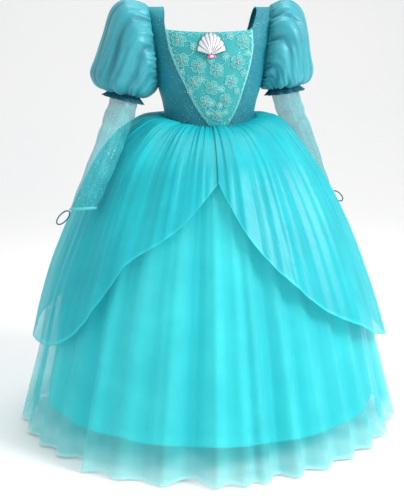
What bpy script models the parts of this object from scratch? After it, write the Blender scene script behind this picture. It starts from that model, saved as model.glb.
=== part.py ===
"""A child's full-length costume gown, filled out as worn, with nobody in it.

Metres, +Z up. The origin is at the top of the shoulders, where a wearer holds the gown up.
The front faces -Y. Left and right are those of somebody who looks at the front: left is -X.
Every piece of cloth is a thin wall with its own name, 0.3 mm clear of its neighbours at the seams.
"""

import math
from collections import namedtuple

import bmesh
import bpy
import numpy as np

GOWN = "princess_costume_dress"
SEAM_GAP = 0.0003
LEFT, RIGHT = -1, 1

# Wall of each cloth, in metres
SATIN_WALL = 0.0016
TULLE_WALL = 0.0011
LINING_WALL = 0.0012
PUFF_WALL = 0.0013
LACE_WALL = 0.0010

# Heights, in metres from the shoulders
HEM = -0.785
LINING_HEM = -0.733
WAIST = -0.2035
WAIST_POINT = 0.0165
UNDERARM = -0.145
FRONT_NECK = -0.0405
FRONT_NECK_DIP = 0.0045
BACK_NECK = -0.078

# Torso rings: x of the side seam, or of the armhole above the underarm, and the depth to front and back
Torso = namedtuple("Torso", "level side front back")
TORSO = (
    Torso(-0.2250, 0.0835, 0.0715, 0.0700),
    Torso(-0.2035, 0.0835, 0.0710, 0.0700),
    Torso(-0.1750, 0.0875, 0.0735, 0.0720),
    Torso(-0.1450, 0.0955, 0.0775, 0.0750),
    Torso(-0.1200, 0.0985, 0.0790, 0.0765),
    Torso(-0.0900, 0.1015, 0.0775, 0.0765),
    Torso(-0.0600, 0.1055, 0.0715, 0.0740),
    Torso(-0.0400, 0.1080, 0.0640, 0.0690),
    Torso(-0.0200, 0.1105, 0.0500, 0.0550),
    Torso(-0.0080, 0.1123, 0.0335, 0.0365),
    Torso(-0.0020, 0.1130, 0.0170, 0.0186),
    Torso(0.0000, 0.1132, 0.0000, 0.0000),
)
TORSO_SQUARENESS = 2.3
ARMHOLE_DEPTH = 0.034

# Lace panel: half its width at each level. Its centre leans to the right on its way down.
LacePanel = namedtuple("LacePanel", "level half_width")
LACE_PANEL = (
    LacePanel(-0.2190, 0.0120),
    LacePanel(-0.2075, 0.0200),
    LacePanel(-0.1920, 0.0305),
    LacePanel(-0.1700, 0.0420),
    LacePanel(-0.1500, 0.0500),
    LacePanel(-0.1350, 0.0560),
    LacePanel(-0.1150, 0.0640),
    LacePanel(-0.0900, 0.0720),
    LacePanel(-0.0700, 0.0765),
    LacePanel(-0.0405, 0.0785),
)
LEAN_AT_NECK = -0.0070
LEAN_AT_WAIST = 0.0085

# Bodice panels, one row for each section from the waist up over the shoulder
FrontSection = namedtuple("FrontSection", "inner_level outer_level strap_edge")
SIDE_FRONT = (
    FrontSection(-0.2190, -0.2050, None),
    FrontSection(-0.2065, -0.1950, None),
    FrontSection(-0.1920, -0.1830, None),
    FrontSection(-0.1700, -0.1640, None),
    FrontSection(-0.1450, -0.1450, None),
    FrontSection(-0.1220, -0.1230, None),
    FrontSection(-0.1000, -0.1000, None),
    FrontSection(-0.0780, -0.0780, None),
    FrontSection(-0.0580, -0.0580, None),
    FrontSection(-0.0405, -0.0405, 0.0790),
    FrontSection(-0.0280, -0.0280, 0.0820),
    FrontSection(-0.0170, -0.0170, 0.0840),
    FrontSection(-0.0085, -0.0085, 0.0852),
    FrontSection(-0.0025, -0.0025, 0.0858),
    FrontSection(0.0000, 0.0000, 0.0860),
)
BackSection = namedtuple("BackSection", "inner_level outer_level inner_edge")
PLACKET_HALF = 0.0120
BACK = (
    BackSection(-0.2050, -0.2050, PLACKET_HALF),
    BackSection(-0.1750, -0.1750, PLACKET_HALF),
    BackSection(-0.1450, -0.1460, PLACKET_HALF),
    BackSection(-0.1180, -0.1250, PLACKET_HALF),
    BackSection(-0.0920, -0.1050, PLACKET_HALF),
    BackSection(-0.0780, -0.0920, PLACKET_HALF),
    BackSection(-0.0765, -0.0820, 0.0300),
    BackSection(-0.0720, -0.0720, 0.0500),
    BackSection(-0.0640, -0.0620, 0.0660),
    BackSection(-0.0520, -0.0500, 0.0765),
    BackSection(-0.0380, -0.0370, 0.0815),
    BackSection(-0.0220, -0.0220, 0.0840),
    BackSection(-0.0100, -0.0100, 0.0853),
    BackSection(-0.0030, -0.0030, 0.0858),
    BackSection(0.0000, 0.0000, 0.0860),
)

# Lace flowers: place across the panel, from -1 to 1 of its half width, level and radius
Flower = namedtuple("Flower", "across level radius")
FLOWERS = (
    Flower(-0.74, -0.058, 0.0125),
    Flower(-0.78, -0.094, 0.0120),
    Flower(-0.40, -0.104, 0.0130),
    Flower(0.06, -0.112, 0.0125),
    Flower(0.74, -0.062, 0.0125),
    Flower(0.62, -0.098, 0.0130),
    Flower(-0.66, -0.134, 0.0120),
    Flower(-0.12, -0.143, 0.0125),
    Flower(0.50, -0.132, 0.0120),
    Flower(-0.46, -0.168, 0.0110),
    Flower(0.36, -0.166, 0.0120),
    Flower(-0.02, -0.193, 0.0100),
)
FLOWER_HEIGHT = 0.0016
LACE_STANDS_OFF = 0.0009
LACE_BOTTOM = -0.2115

# Shell brooch
BROOCH_CENTRE = (-0.0066, -0.0850)
BROOCH_WIDTH = 0.0520
BROOCH_HEIGHT = 0.0400
BROOCH_RIBS = 9
BROOCH_PLATE = 0.0016
BROOCH_DOME = 0.0034
BROOCH_RIB = 0.0012
BROOCH_CLEARANCE = 0.0005
FOOT_WIDTH = 0.0170
FOOT_HEIGHT = 0.0065
FOOT_THICK = 0.0040

# Skirt: half sizes of the form to left, right, front and back, and how square each ring is
Skirt = namedtuple("Skirt", "level left right front back square")
SKIRT = (
    Skirt(-0.2035, 0.0850, 0.0850, 0.0725, 0.0715, 2.30),
    Skirt(-0.2000, 0.0950, 0.0950, 0.0800, 0.0790, 2.25),
    Skirt(-0.2040, 0.1180, 0.1190, 0.0990, 0.0970, 2.15),
    Skirt(-0.2180, 0.1430, 0.1390, 0.1240, 0.1200, 2.08),
    Skirt(-0.2400, 0.1720, 0.1580, 0.1450, 0.1450, 2.00),
    Skirt(-0.2740, 0.2010, 0.1820, 0.1700, 0.1720, 2.00),
    Skirt(-0.3300, 0.2320, 0.2190, 0.2010, 0.2030, 2.00),
    Skirt(-0.4000, 0.2620, 0.2550, 0.2360, 0.2380, 2.00),
    Skirt(-0.4800, 0.2940, 0.2870, 0.2700, 0.2720, 2.00),
    Skirt(-0.5600, 0.3170, 0.3140, 0.3020, 0.3030, 2.00),
    Skirt(-0.6400, 0.3340, 0.3360, 0.3290, 0.3280, 2.00),
    Skirt(-0.7150, 0.3550, 0.3570, 0.3530, 0.3510, 2.00),
    Skirt(HEM, 0.3740, 0.3760, 0.3760, 0.3720, 2.00),
)
POINT_FADES_AT = -0.300

# Folds of the sheer skirt: angle of each ridge in degrees from centre front, and at the hem how far
# inside the form the ridge lies, and the trough between it and the next ridge
Fold = namedtuple("Fold", "angle ridge trough")
FRONT_FOLDS = (
    Fold(-90, 0.004, 0.024),
    Fold(-77, 0.008, 0.026),
    Fold(-66, 0.012, 0.028),
    Fold(-56, 0.014, 0.040),
    Fold(-43, 0.000, 0.018),
    Fold(-33, 0.002, 0.018),
    Fold(-20, 0.004, 0.036),
    Fold(-5, 0.000, 0.014),
    Fold(3, 0.004, 0.022),
    Fold(8, 0.010, 0.040),
    Fold(18, 0.012, 0.036),
    Fold(28, 0.018, 0.036),
    Fold(39, 0.020, 0.038),
    Fold(49, 0.018, 0.038),
    Fold(61, 0.016, 0.036),
    Fold(76, 0.008, 0.032),
    Fold(90, 0.004, 0.030),
)
BACK_FOLDS = (
    Fold(90, 0.004, 0.030),
    Fold(104, 0.008, 0.030),
    Fold(116, 0.012, 0.036),
    Fold(127, 0.006, 0.028),
    Fold(141, 0.010, 0.038),
    Fold(152, 0.004, 0.026),
    Fold(163, 0.012, 0.036),
    Fold(177, 0.002, 0.032),
    Fold(190, 0.010, 0.034),
    Fold(201, 0.006, 0.026),
    Fold(213, 0.012, 0.038),
    Fold(226, 0.004, 0.030),
    Fold(238, 0.012, 0.036),
    Fold(253, 0.006, 0.028),
    Fold(270, 0.004, 0.024),
)
DEEPEST_TROUGH = 0.040
COLUMNS_PER_FOLD = 3
FOLD_GROWTH = 1.2

# Lining skirt: soft waves, inside the sheer skirt's troughs
LINING_WAVES = 14
LINING_WAVE_DEPTH = 0.006
LINING_COLUMNS = 22
LINING_CLEARANCE = 0.0030

# Petals: level of the lower edge at each angle from centre front
Edge = namedtuple("Edge", "angle level")
RIGHT_PETAL_EDGE = (
    Edge(-2.5, -0.302),
    Edge(4, -0.355),
    Edge(9, -0.394),
    Edge(14, -0.422),
    Edge(20, -0.455),
    Edge(37, -0.528),
    Edge(50, -0.566),
    Edge(63, -0.596),
    Edge(78, -0.618),
    Edge(92, -0.624),
    Edge(106, -0.615),
    Edge(126, -0.575),
    Edge(146, -0.506),
    Edge(164, -0.412),
    Edge(182.5, -0.302),
)
LEFT_PETAL_EDGE = (
    Edge(-3.1, -0.304),
    Edge(-9, -0.330),
    Edge(-17, -0.366),
    Edge(-25, -0.396),
    Edge(-38, -0.440),
    Edge(-42, -0.478),
    Edge(-48, -0.522),
    Edge(-56, -0.572),
    Edge(-66, -0.600),
    Edge(-80, -0.610),
    Edge(-94, -0.610),
    Edge(-108, -0.598),
    Edge(-128, -0.556),
    Edge(-148, -0.488),
    Edge(-165, -0.404),
    Edge(-176.9, -0.320),
)
PETAL_COLUMNS = 30
PETAL_LOWER_ROWS = 6
PETAL_CLEARANCE = 0.0005
PETAL_LIFT = 0.0022
PETAL_OVERLAP = 0.0028
PETAL_OVERLAP_WIDTH = 12.0
PETAL_FLARE = 0.0040

# Large folds of the petals: angle of the ridge at the waist and at the lower edge, height and half width
Ridge = namedtuple("Ridge", "top_angle edge_angle height half_width")
RIGHT_PETAL_RIDGES = (
    Ridge(12, 9, 0.0040, 6.0),
    Ridge(30, 23, 0.0070, 7.0),
    Ridge(52, 49, 0.0100, 8.0),
    Ridge(70, 74, 0.0070, 7.0),
    Ridge(90, 94, 0.0055, 7.5),
    Ridge(109, 112, 0.0040, 7.5),
    Ridge(128, 127, 0.0055, 7.0),
    Ridge(147, 146, 0.0075, 7.5),
    Ridge(166, 167, 0.0050, 6.5),
)
LEFT_PETAL_RIDGES = (
    Ridge(-14, -12, 0.0040, 6.0),
    Ridge(-31, -27, 0.0055, 6.5),
    Ridge(-55, -42, 0.0120, 7.5),
    Ridge(-70, -64, 0.0035, 7.0),
    Ridge(-86, -84, 0.0060, 7.5),
    Ridge(-104, -106, 0.0070, 7.5),
    Ridge(-123, -125, 0.0055, 7.0),
    Ridge(-142, -141, 0.0075, 7.5),
    Ridge(-160, -159, 0.0050, 6.5),
)

# Puff sleeves: top and under point of each ring, outward from the middle of the gown, and its depth
Puff = namedtuple("Puff", "top_x top_z under_x under_z centre_y half_depth")
LEFT_PUFF = (
    Puff(0.1200, 0.0060, 0.0985, -0.1485, -0.001, 0.050),
    Puff(0.1420, 0.0130, 0.1000, -0.1515, -0.002, 0.060),
    Puff(0.1620, 0.0125, 0.1012, -0.1530, -0.003, 0.064),
    Puff(0.1830, -0.0060, 0.1025, -0.1545, -0.004, 0.065),
    Puff(0.1980, -0.0500, 0.1045, -0.1560, -0.006, 0.063),
    Puff(0.2110, -0.0880, 0.1075, -0.1580, -0.008, 0.060),
    Puff(0.2215, -0.1170, 0.1120, -0.1605, -0.010, 0.056),
    Puff(0.2150, -0.1380, 0.1180, -0.1635, -0.010, 0.049),
    Puff(0.2010, -0.1470, 0.1240, -0.1640, -0.010, 0.038),
    Puff(0.1860, -0.1485, 0.1320, -0.1620, -0.010, 0.027),
)
RIGHT_PUFF = (
    Puff(0.1200, 0.0060, 0.0975, -0.1460, 0.001, 0.050),
    Puff(0.1370, 0.0140, 0.0985, -0.1480, 0.002, 0.060),
    Puff(0.1560, 0.0120, 0.0993, -0.1490, 0.003, 0.064),
    Puff(0.1760, -0.0070, 0.1002, -0.1500, 0.004, 0.065),
    Puff(0.1870, -0.0450, 0.1014, -0.1506, 0.005, 0.063),
    Puff(0.1930, -0.0850, 0.1030, -0.1512, 0.006, 0.060),
    Puff(0.1985, -0.1160, 0.1050, -0.1515, 0.007, 0.055),
    Puff(0.1940, -0.1330, 0.1080, -0.1518, 0.008, 0.047),
    Puff(0.1830, -0.1400, 0.1120, -0.1515, 0.008, 0.037),
    Puff(0.1700, -0.1410, 0.1170, -0.1490, 0.008, 0.027),
)
PUFF_COLUMNS = 24
PUFF_GATHERS = 12
PUFF_GATHER_HEIGHT = 0.0020
ARMHOLE_CLEARANCE = 0.0006

# Lower sleeves: outward x, y and level of each ring's centre, and its half width and half depth
Sleeve = namedtuple("Sleeve", "x y level half_width half_depth")
LEFT_SLEEVE = (
    Sleeve(0.1590, -0.0100, -0.1610, 0.0225, 0.0200),
    Sleeve(0.1640, -0.0210, -0.1800, 0.0260, 0.0220),
    Sleeve(0.1745, -0.0450, -0.2030, 0.0260, 0.0200),
    Sleeve(0.1885, -0.0830, -0.2350, 0.0245, 0.0180),
    Sleeve(0.2010, -0.1060, -0.2620, 0.0240, 0.0170),
    Sleeve(0.2165, -0.1220, -0.2950, 0.0230, 0.0160),
    Sleeve(0.2290, -0.1280, -0.3230, 0.0220, 0.0155),
    Sleeve(0.2400, -0.1320, -0.3470, 0.0210, 0.0150),
)
RIGHT_SLEEVE = (
    Sleeve(0.1440, 0.0080, -0.1500, 0.0225, 0.0200),
    Sleeve(0.1510, 0.0140, -0.1700, 0.0260, 0.0220),
    Sleeve(0.1630, 0.0280, -0.1980, 0.0255, 0.0200),
    Sleeve(0.1810, 0.0520, -0.2280, 0.0245, 0.0180),
    Sleeve(0.2050, 0.0830, -0.2730, 0.0240, 0.0170),
    Sleeve(0.2220, 0.1060, -0.3080, 0.0230, 0.0160),
    Sleeve(0.2360, 0.1200, -0.3380, 0.0220, 0.0155),
    Sleeve(0.2490, 0.1270, -0.3640, 0.0210, 0.0150),
)
SLEEVE_COLUMNS = 14
SLEEVE_SEAT_DROP = 0.0008
SLEEVE_SEAT_GAP = 0.0007
SLEEVE_SLANT = 0.0100
RUFFLE_LENGTH = 0.0120
RUFFLE_FLARE = 0.0105
RUFFLE_WAVES = 12
RUFFLE_WAVE = 0.0014
RUFFLE_CLEARANCE = 0.0012
BINDING_LENGTH = 0.0050
BINDING_WALL = 0.0018
LOOP_LENGTH = 0.0300
LOOP_WIDTH = 0.0140
LOOP_CORD = 0.0024

# Colour, roughness and metallic value of each finish
Finish = namedtuple("Finish", "colour roughness metallic")
FINISHES = {
    "velvet": Finish((0.005, 0.255, 0.330), 0.75, 0.0),
    "satin": Finish((0.010, 0.400, 0.420), 0.40, 0.0),
    "lace": Finish((0.180, 0.640, 0.620), 0.70, 0.0),
    "taffeta": Finish((0.060, 0.420, 0.450), 0.35, 0.0),
    "glitter_tulle": Finish((0.200, 0.660, 0.680), 0.60, 0.0),
    "organza": Finish((0.030, 0.560, 0.580), 0.55, 0.0),
    "tulle": Finish((0.060, 0.600, 0.600), 0.70, 0.0),
    "elastic": Finish((0.002, 0.130, 0.190), 0.70, 0.0),
    "enamel": Finish((0.640, 0.660, 0.680), 0.25, 0.2),
    "pink_enamel": Finish((0.780, 0.250, 0.420), 0.25, 0.0),
}


def clear_scene():
    for obj in list(bpy.data.objects):
        bpy.data.objects.remove(obj, do_unlink=True)


def finish_material(name):
    """The Principled material of a finish, made once."""
    known = bpy.data.materials.get(name)
    if known:
        return known
    look = FINISHES[name]
    material = bpy.data.materials.new(name)
    material.use_nodes = True
    shader = material.node_tree.nodes["Principled BSDF"]
    shader.inputs["Base Color"].default_value = (*look.colour, 1.0)
    shader.inputs["Roughness"].default_value = look.roughness
    shader.inputs["Metallic"].default_value = look.metallic
    return material


def smooth_curve(at, values):
    """A curve through the points that never overshoots them (monotone cubic)."""
    order = np.argsort(at)
    x = np.asarray(at, float)[order]
    y = np.asarray(values, float)[order]
    step = np.diff(x)
    slope = np.diff(y) / step
    tangent = np.concatenate([slope[:1], np.zeros(len(x) - 2), slope[-1:]])
    for i in range(1, len(x) - 1):
        before, after = slope[i - 1], slope[i]
        if before * after > 0:
            w1 = 2 * step[i] + step[i - 1]
            w2 = step[i] + 2 * step[i - 1]
            tangent[i] = (w1 + w2) / (w1 / before + w2 / after)

    def value(where):
        where = float(np.clip(where, x[0], x[-1]))
        i = int(np.clip(np.searchsorted(x, where) - 1, 0, len(x) - 2))
        t = (where - x[i]) / step[i]
        t2, t3 = t * t, t * t * t
        return float(
            (2 * t3 - 3 * t2 + 1) * y[i]
            + (t3 - 2 * t2 + t) * step[i] * tangent[i]
            + (3 * t2 - 2 * t3) * y[i + 1]
            + (t3 - t2) * step[i] * tangent[i + 1]
        )

    return value


def columns_of(table, key):
    """A smooth curve of each other column of a table, read at a value of its key column."""
    at = [getattr(row, key) for row in table]
    names = [name for name in table[0]._fields if name != key]
    return {name: smooth_curve(at, [getattr(row, name) for row in table]) for name in names}


def smoothstep(value):
    t = min(1.0, max(0.0, value))
    return t * t * (3 - 2 * t)


def new_object(name, mesh, finish):
    obj = bpy.data.objects.new(name, mesh)
    bpy.data.collections[GOWN].objects.link(obj)
    mesh.materials.append(finish_material(finish))
    mesh.shade_smooth()
    return obj


def face_outward(bm, rows_of, wrap):
    """Turns an open surface so that its normals point away from the middle of each ring, or of the torso."""
    lean = 0.0
    for face in bm.faces:
        centre = face.calc_center_median()
        hub = rows_of[face.index] if wrap else (0.0, 0.0, centre.z)
        lean += sum(n * (c - h) for n, c, h in zip(face.normal, centre, hub)) * face.calc_area()
    if lean < 0:
        bmesh.ops.reverse_faces(bm, faces=bm.faces)


def trim_at_side_seam(obj, towards):
    """Fixes the wall and flattens whatever leans past the plane of the side and shoulder seams."""
    graph = bpy.context.evaluated_depsgraph_get()
    mesh = bpy.data.meshes.new_from_object(obj.evaluated_get(graph))
    obj.modifiers.clear()
    obj.data = mesh
    for vert in mesh.vertices:
        if vert.co.y * towards < SEAM_GAP / 2:
            vert.co.y = towards * SEAM_GAP / 2


def cloth(name, rows, wall, finish, wrap=False, half=0):
    """A wall of cloth whose outer face runs through the rows of points. Wrapped rows make a tube.

    A panel of the front half (half -1) or of the back half (half 1) ends at the side seam's plane.
    """
    bm = bmesh.new()
    grid = [[bm.verts.new(point) for point in row] for row in rows]
    hubs = []
    across = len(rows[0]) if wrap else len(rows[0]) - 1
    for upper, lower, points in zip(grid, grid[1:], rows):
        hub = tuple(np.mean(np.array(points, float), axis=0))
        for j in range(across):
            k = (j + 1) % len(upper)
            bm.faces.new((upper[j], upper[k], lower[k], lower[j]))
            hubs.append(hub)
    bm.faces.index_update()
    bm.normal_update()
    face_outward(bm, hubs, wrap)
    mesh = bpy.data.meshes.new(name)
    bm.to_mesh(mesh)
    bm.free()
    obj = new_object(name, mesh, finish)
    solid = obj.modifiers.new("Wall", "SOLIDIFY")
    solid.thickness = wall
    solid.offset = -1.0
    solid.use_even_offset = True
    solid.thickness_clamp = 1.0
    if half:
        trim_at_side_seam(obj, half)
    return obj


def two_skins(name, outer, inner, finish):
    """A closed wall between an outer face with relief and a plain inner one, of the same rows and columns."""
    bm = bmesh.new()
    skins = [[[bm.verts.new(point) for point in row] for row in skin] for skin in (outer, inner)]
    rows, columns = len(outer), len(outer[0])
    for skin in skins:
        for i in range(rows - 1):
            for j in range(columns - 1):
                bm.faces.new((skin[i][j], skin[i][j + 1], skin[i + 1][j + 1], skin[i + 1][j]))
    rim = [(i, 0) for i in range(rows)]
    rim += [(rows - 1, j) for j in range(1, columns)]
    rim += [(i, columns - 1) for i in range(rows - 2, -1, -1)]
    rim += [(0, j) for j in range(columns - 2, 0, -1)]
    for (i, j), (k, m) in zip(rim, rim[1:] + rim[:1]):
        bm.faces.new((skins[0][i][j], skins[0][k][m], skins[1][k][m], skins[1][i][j]))
    bmesh.ops.recalc_face_normals(bm, faces=bm.faces)
    mesh = bpy.data.meshes.new(name)
    bm.to_mesh(mesh)
    bm.free()
    return new_object(name, mesh, finish)


class TorsoForm:
    """The general figure that the bodice is cut for: one rounded ring at each level."""

    def __init__(self):
        self.curves = columns_of(TORSO, "level")

    def armhole_y(self, level):
        """How far the armhole's edge stands from the shoulder line at this level."""
        middle = UNDERARM / 2
        share = 1 - ((level - middle) / middle) ** 2
        return ARMHOLE_DEPTH * math.sqrt(max(0.0, share))

    def ring(self, level, back):
        """Half width and depth of the whole ring that runs through the side edge."""
        side = self.curves["side"](level)
        depth = self.curves["back" if back else "front"](level)
        if level <= UNDERARM:
            return side, depth
        read_at = min(level, TORSO[-2].level)
        edge = self.armhole_y(read_at) / self.curves["back" if back else "front"](read_at)
        return side / (1 - edge**TORSO_SQUARENESS) ** (1 / TORSO_SQUARENESS), depth

    def turn(self, x, level, back):
        """The angle from the middle at which the ring has this x, in radians."""
        half_width, _ = self.ring(level, back)
        return math.asin(min(1.0, abs(x) / half_width) ** (TORSO_SQUARENESS / 2)) * (1 if x >= 0 else -1)

    def point(self, angle, level, back=False, out=0.0):
        """The point of the ring at an angle from the middle, moved out along the normal in the plane."""
        half_width, depth = self.ring(level, back)
        s, c = math.sin(angle), math.cos(angle)
        x = half_width * abs(s) ** (2 / TORSO_SQUARENESS) * (1 if s >= 0 else -1)
        y = depth * max(0.0, c) ** (2 / TORSO_SQUARENESS)
        length = math.hypot(x / half_width**2, y / max(depth, 1e-6) ** 2)
        if out and length > 0:
            x += out * x / half_width**2 / length
            y += out * y / depth**2 / length
        return (x, y if back else -y, level)


class Bodice:
    """Front panel with its lace, two side fronts with straps, two backs and the covered placket."""

    FRONT_COLUMNS = 10
    LACE_ROWS = 21
    LACE_COLUMNS = 18
    SIDE_COLUMNS = 6
    BACK_COLUMNS = 6
    PLACKET_ROWS = 5

    def __init__(self, torso):
        self.torso = torso
        self.half_width = columns_of(LACE_PANEL, "level")["half_width"]

    def lean(self, level):
        share = (level - FRONT_NECK) / (LACE_PANEL[0].level - FRONT_NECK)
        return LEAN_AT_NECK + (LEAN_AT_WAIST - LEAN_AT_NECK) * min(1.0, max(0.0, share))

    def lace_edge(self, level, side):
        return side * self.half_width(level) + self.lean(level)

    def lace_rows(self, levels, columns, out, trim, relief=None):
        """Rows of the front panel from the waist up to the neckline, at a distance from the torso."""
        made = []
        bottom, top = levels[0], levels[-1]
        for level in levels:
            row = []
            for j in range(columns):
                across = -1 + 2 * j / (columns - 1)
                x = across * (self.half_width(level) - trim) + self.lean(level)
                dip = FRONT_NECK_DIP * (1 - across**2) * smoothstep((level + 0.09) / 0.05)
                drop = 0.0010 * (1 - across**2) * (level - top) / (bottom - top)
                z = level - dip - drop
                raised = relief(across, z) if relief else 0.0
                row.append(self.torso.point(self.torso.turn(x, z, False), z, out=out + raised))
            made.append(row)
        return made

    def flower_relief(self, across, level):
        """How far the lace stands up here: a soft mound for each flower, higher round its middle."""
        x = across * self.half_width(level)
        height = 0.0
        for flower in FLOWERS:
            away = math.hypot(x - flower.across * self.half_width(flower.level), level - flower.level)
            height = max(height, FLOWER_HEIGHT * smoothstep(1.25 * (1 - away / flower.radius)))
        return height

    def side_front_rows(self, side):
        rows = []
        for section in SIDE_FRONT:
            if section.strap_edge is None:
                inner_x = abs(self.lace_edge(section.inner_level, side))
            else:
                lean = LEAN_AT_NECK * smoothstep(section.inner_level / FRONT_NECK)
                inner_x = section.strap_edge + side * lean
            rows.append(self.section(inner_x + SEAM_GAP / 2, section.inner_level, section.outer_level, False))
        return self.placed(rows, side)

    def back_rows(self, side):
        rows = [self.section(s.inner_edge + SEAM_GAP / 2, s.inner_level, s.outer_level, True) for s in BACK]
        return self.placed(rows, side)

    def section(self, inner_x, inner_level, outer_level, back):
        """One row of a side panel, from its inner edge round to the side seam or the armhole."""
        columns = self.BACK_COLUMNS if back else self.SIDE_COLUMNS
        outer_x = self.torso.curves["side"](outer_level)
        start = self.torso.turn(inner_x, inner_level, back)
        end = self.torso.turn(outer_x, outer_level, back)
        row = []
        for j in range(columns):
            share = j / (columns - 1)
            level = inner_level + (outer_level - inner_level) * share
            x, y, z = self.torso.point(start + (end - start) * share, level, back)
            seam = SEAM_GAP if back else -SEAM_GAP
            row.append((x, y + seam / 2, z))
        return row

    def placed(self, rows, side):
        return [[(side * x, y, z) for x, y, z in row] for row in rows]

    def placket_rows(self):
        rows = []
        half = PLACKET_HALF - SEAM_GAP / 2
        for i in range(self.PLACKET_ROWS):
            level = BACK[0].inner_level + (BACK_NECK - BACK[0].inner_level) * i / (self.PLACKET_ROWS - 1)
            edges = (-half, 0.0, half)
            rows.append([self.torso.point(self.torso.turn(x, level, True), level, True) for x in edges])
        return rows

    def build(self):
        seams = [row.inner_level for row in SIDE_FRONT if row.inner_level <= FRONT_NECK]
        panel = self.lace_rows(seams, self.FRONT_COLUMNS, 0.0, SEAM_GAP)
        cloth("bodice_front_panel", panel, SATIN_WALL, "satin")
        levels = np.linspace(LACE_BOTTOM, seams[-1], self.LACE_ROWS)
        inner = self.lace_rows(levels, self.LACE_COLUMNS, LACE_STANDS_OFF, SEAM_GAP)
        raised = LACE_STANDS_OFF + LACE_WALL
        outer = self.lace_rows(levels, self.LACE_COLUMNS, raised, SEAM_GAP, self.flower_relief)
        two_skins("bodice_lace", outer, inner, "lace")
        for side, word in ((LEFT, "left"), (RIGHT, "right")):
            cloth(f"bodice_side_front_{word}", self.side_front_rows(side), SATIN_WALL, "velvet", half=-1)
            cloth(f"bodice_back_{word}", self.back_rows(side), SATIN_WALL, "velvet", half=1)
        cloth("bodice_back_placket", self.placket_rows(), SATIN_WALL, "velvet")


class Brooch:
    """A ribbed fan shell on a flat plate, with a small foot below its hinge."""

    RADIAL_ROWS = 4
    HINGE_SHARE = 0.18
    FAN_HALF_ANGLE = math.radians(80)

    def __init__(self, bodice):
        x, hinge_level = BROOCH_CENTRE
        middle = hinge_level + BROOCH_HEIGHT / 2
        face = bodice.torso.point(bodice.torso.turn(x, middle, False), middle)
        above = bodice.torso.point(bodice.torso.turn(x, middle + 0.015, False), middle + 0.015)
        below = bodice.torso.point(bodice.torso.turn(x, middle - 0.015, False), middle - 0.015)
        self.slope = (above[1] - below[1]) / 0.030
        self.back_y = face[1] - (LACE_STANDS_OFF + LACE_WALL + BROOCH_CLEARANCE)
        self.middle = middle
        self.x = x
        self.hinge_level = hinge_level

    def place(self, x, z, out):
        """A point of the plate's back face, moved out towards the front."""
        return (self.x + x, self.back_y + self.slope * (z - self.middle) - out, z)

    def build(self):
        angles = 2 * BROOCH_RIBS
        skins = ([], [])
        for i in range(self.RADIAL_ROWS + 1):
            share = self.HINGE_SHARE + (1 - self.HINGE_SHARE) * i / self.RADIAL_ROWS
            for skin in skins:
                skin.append([])
            for j in range(angles + 1):
                turn = self.FAN_HALF_ANGLE * (2 * j / angles - 1)
                ridge = j % 2
                reach = share * (1.0 - 0.05 * (1 - ridge) * share)
                x = BROOCH_WIDTH / 2 * reach * math.sin(turn) / math.sin(self.FAN_HALF_ANGLE)
                z = self.hinge_level + BROOCH_HEIGHT * reach * math.cos(turn)
                dome = BROOCH_DOME * (1 - share**2.2) + BROOCH_RIB * ridge * math.sin(math.pi * min(1, share))
                skins[0][-1].append(self.place(x, z, BROOCH_PLATE + dome))
                skins[1][-1].append(self.place(x, z, 0.0))
        two_skins("brooch_shell", skins[0], skins[1], "enamel")
        self.build_foot()

    def build_foot(self):
        lowest = self.hinge_level + BROOCH_HEIGHT * self.HINGE_SHARE * math.cos(self.FAN_HALF_ANGLE)
        top = lowest - SEAM_GAP
        bm = bmesh.new()
        bmesh.ops.create_cube(bm, size=1.0)
        for vert in bm.verts:
            narrow = 0.72 if vert.co.z > 0 else 1.0
            x = vert.co.x * FOOT_WIDTH * narrow
            z = top + (vert.co.z - 0.5) * FOOT_HEIGHT
            vert.co = self.place(x, z, (0.5 - vert.co.y) * FOOT_THICK)
        bmesh.ops.recalc_face_normals(bm, faces=bm.faces)
        mesh = bpy.data.meshes.new("brooch_foot")
        bm.to_mesh(mesh)
        bm.free()
        foot = new_object("brooch_foot", mesh, "pink_enamel")
        bevel = foot.modifiers.new("Rounding", "BEVEL")
        bevel.width = 0.0010
        bevel.segments = 2


class SkirtForm:
    """The bell that every skirt layer follows, read by row number and angle."""

    def __init__(self):
        number = range(len(SKIRT))
        self.curves = {
            name: smooth_curve(number, [getattr(row, name) for row in SKIRT]) for name in Skirt._fields
        }
        self.row_at_level = smooth_curve([row.level for row in SKIRT[2:]], range(2, len(SKIRT)))

    def base(self, row, angle):
        """Radius and level of the bell. The waist dips to a soft point at the front."""
        s, c = math.sin(angle), math.cos(angle)
        side = self.curves["left" if s < 0 else "right"](row)
        depth = self.curves["front" if c > 0 else "back"](row)
        power = self.curves["square"](row)
        radius = (abs(s / side) ** power + abs(c / depth) ** power) ** (-1 / power)
        level = self.curves["level"](row)
        fade = smoothstep((level - POINT_FADES_AT) / (WAIST - POINT_FADES_AT))
        return radius, level - WAIST_POINT * max(0.0, c) ** 1.5 * fade

    def point(self, row, angle, layer=0.0, fold=0.0):
        """A point of the bell, moved by layer along its normal and by fold straight outward."""
        step = 0.02
        last = len(SKIRT) - 1
        before = self.base(max(0.0, row - step), angle)
        after = self.base(min(last, row + step), angle)
        radius, level = self.base(row, angle)
        along_r, along_z = after[0] - before[0], after[1] - before[1]
        length = math.hypot(along_r, along_z)
        radius += -along_z / length * layer + fold
        level += along_r / length * layer
        return (radius * math.sin(angle), -radius * math.cos(angle), level)

    def fold_share(self, row):
        """How far the folds have opened here: none at the waist, full at the hem."""
        level = self.curves["level"](row)
        return max(0.0, (WAIST - level) / (WAIST - HEM)) ** FOLD_GROWTH


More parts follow.
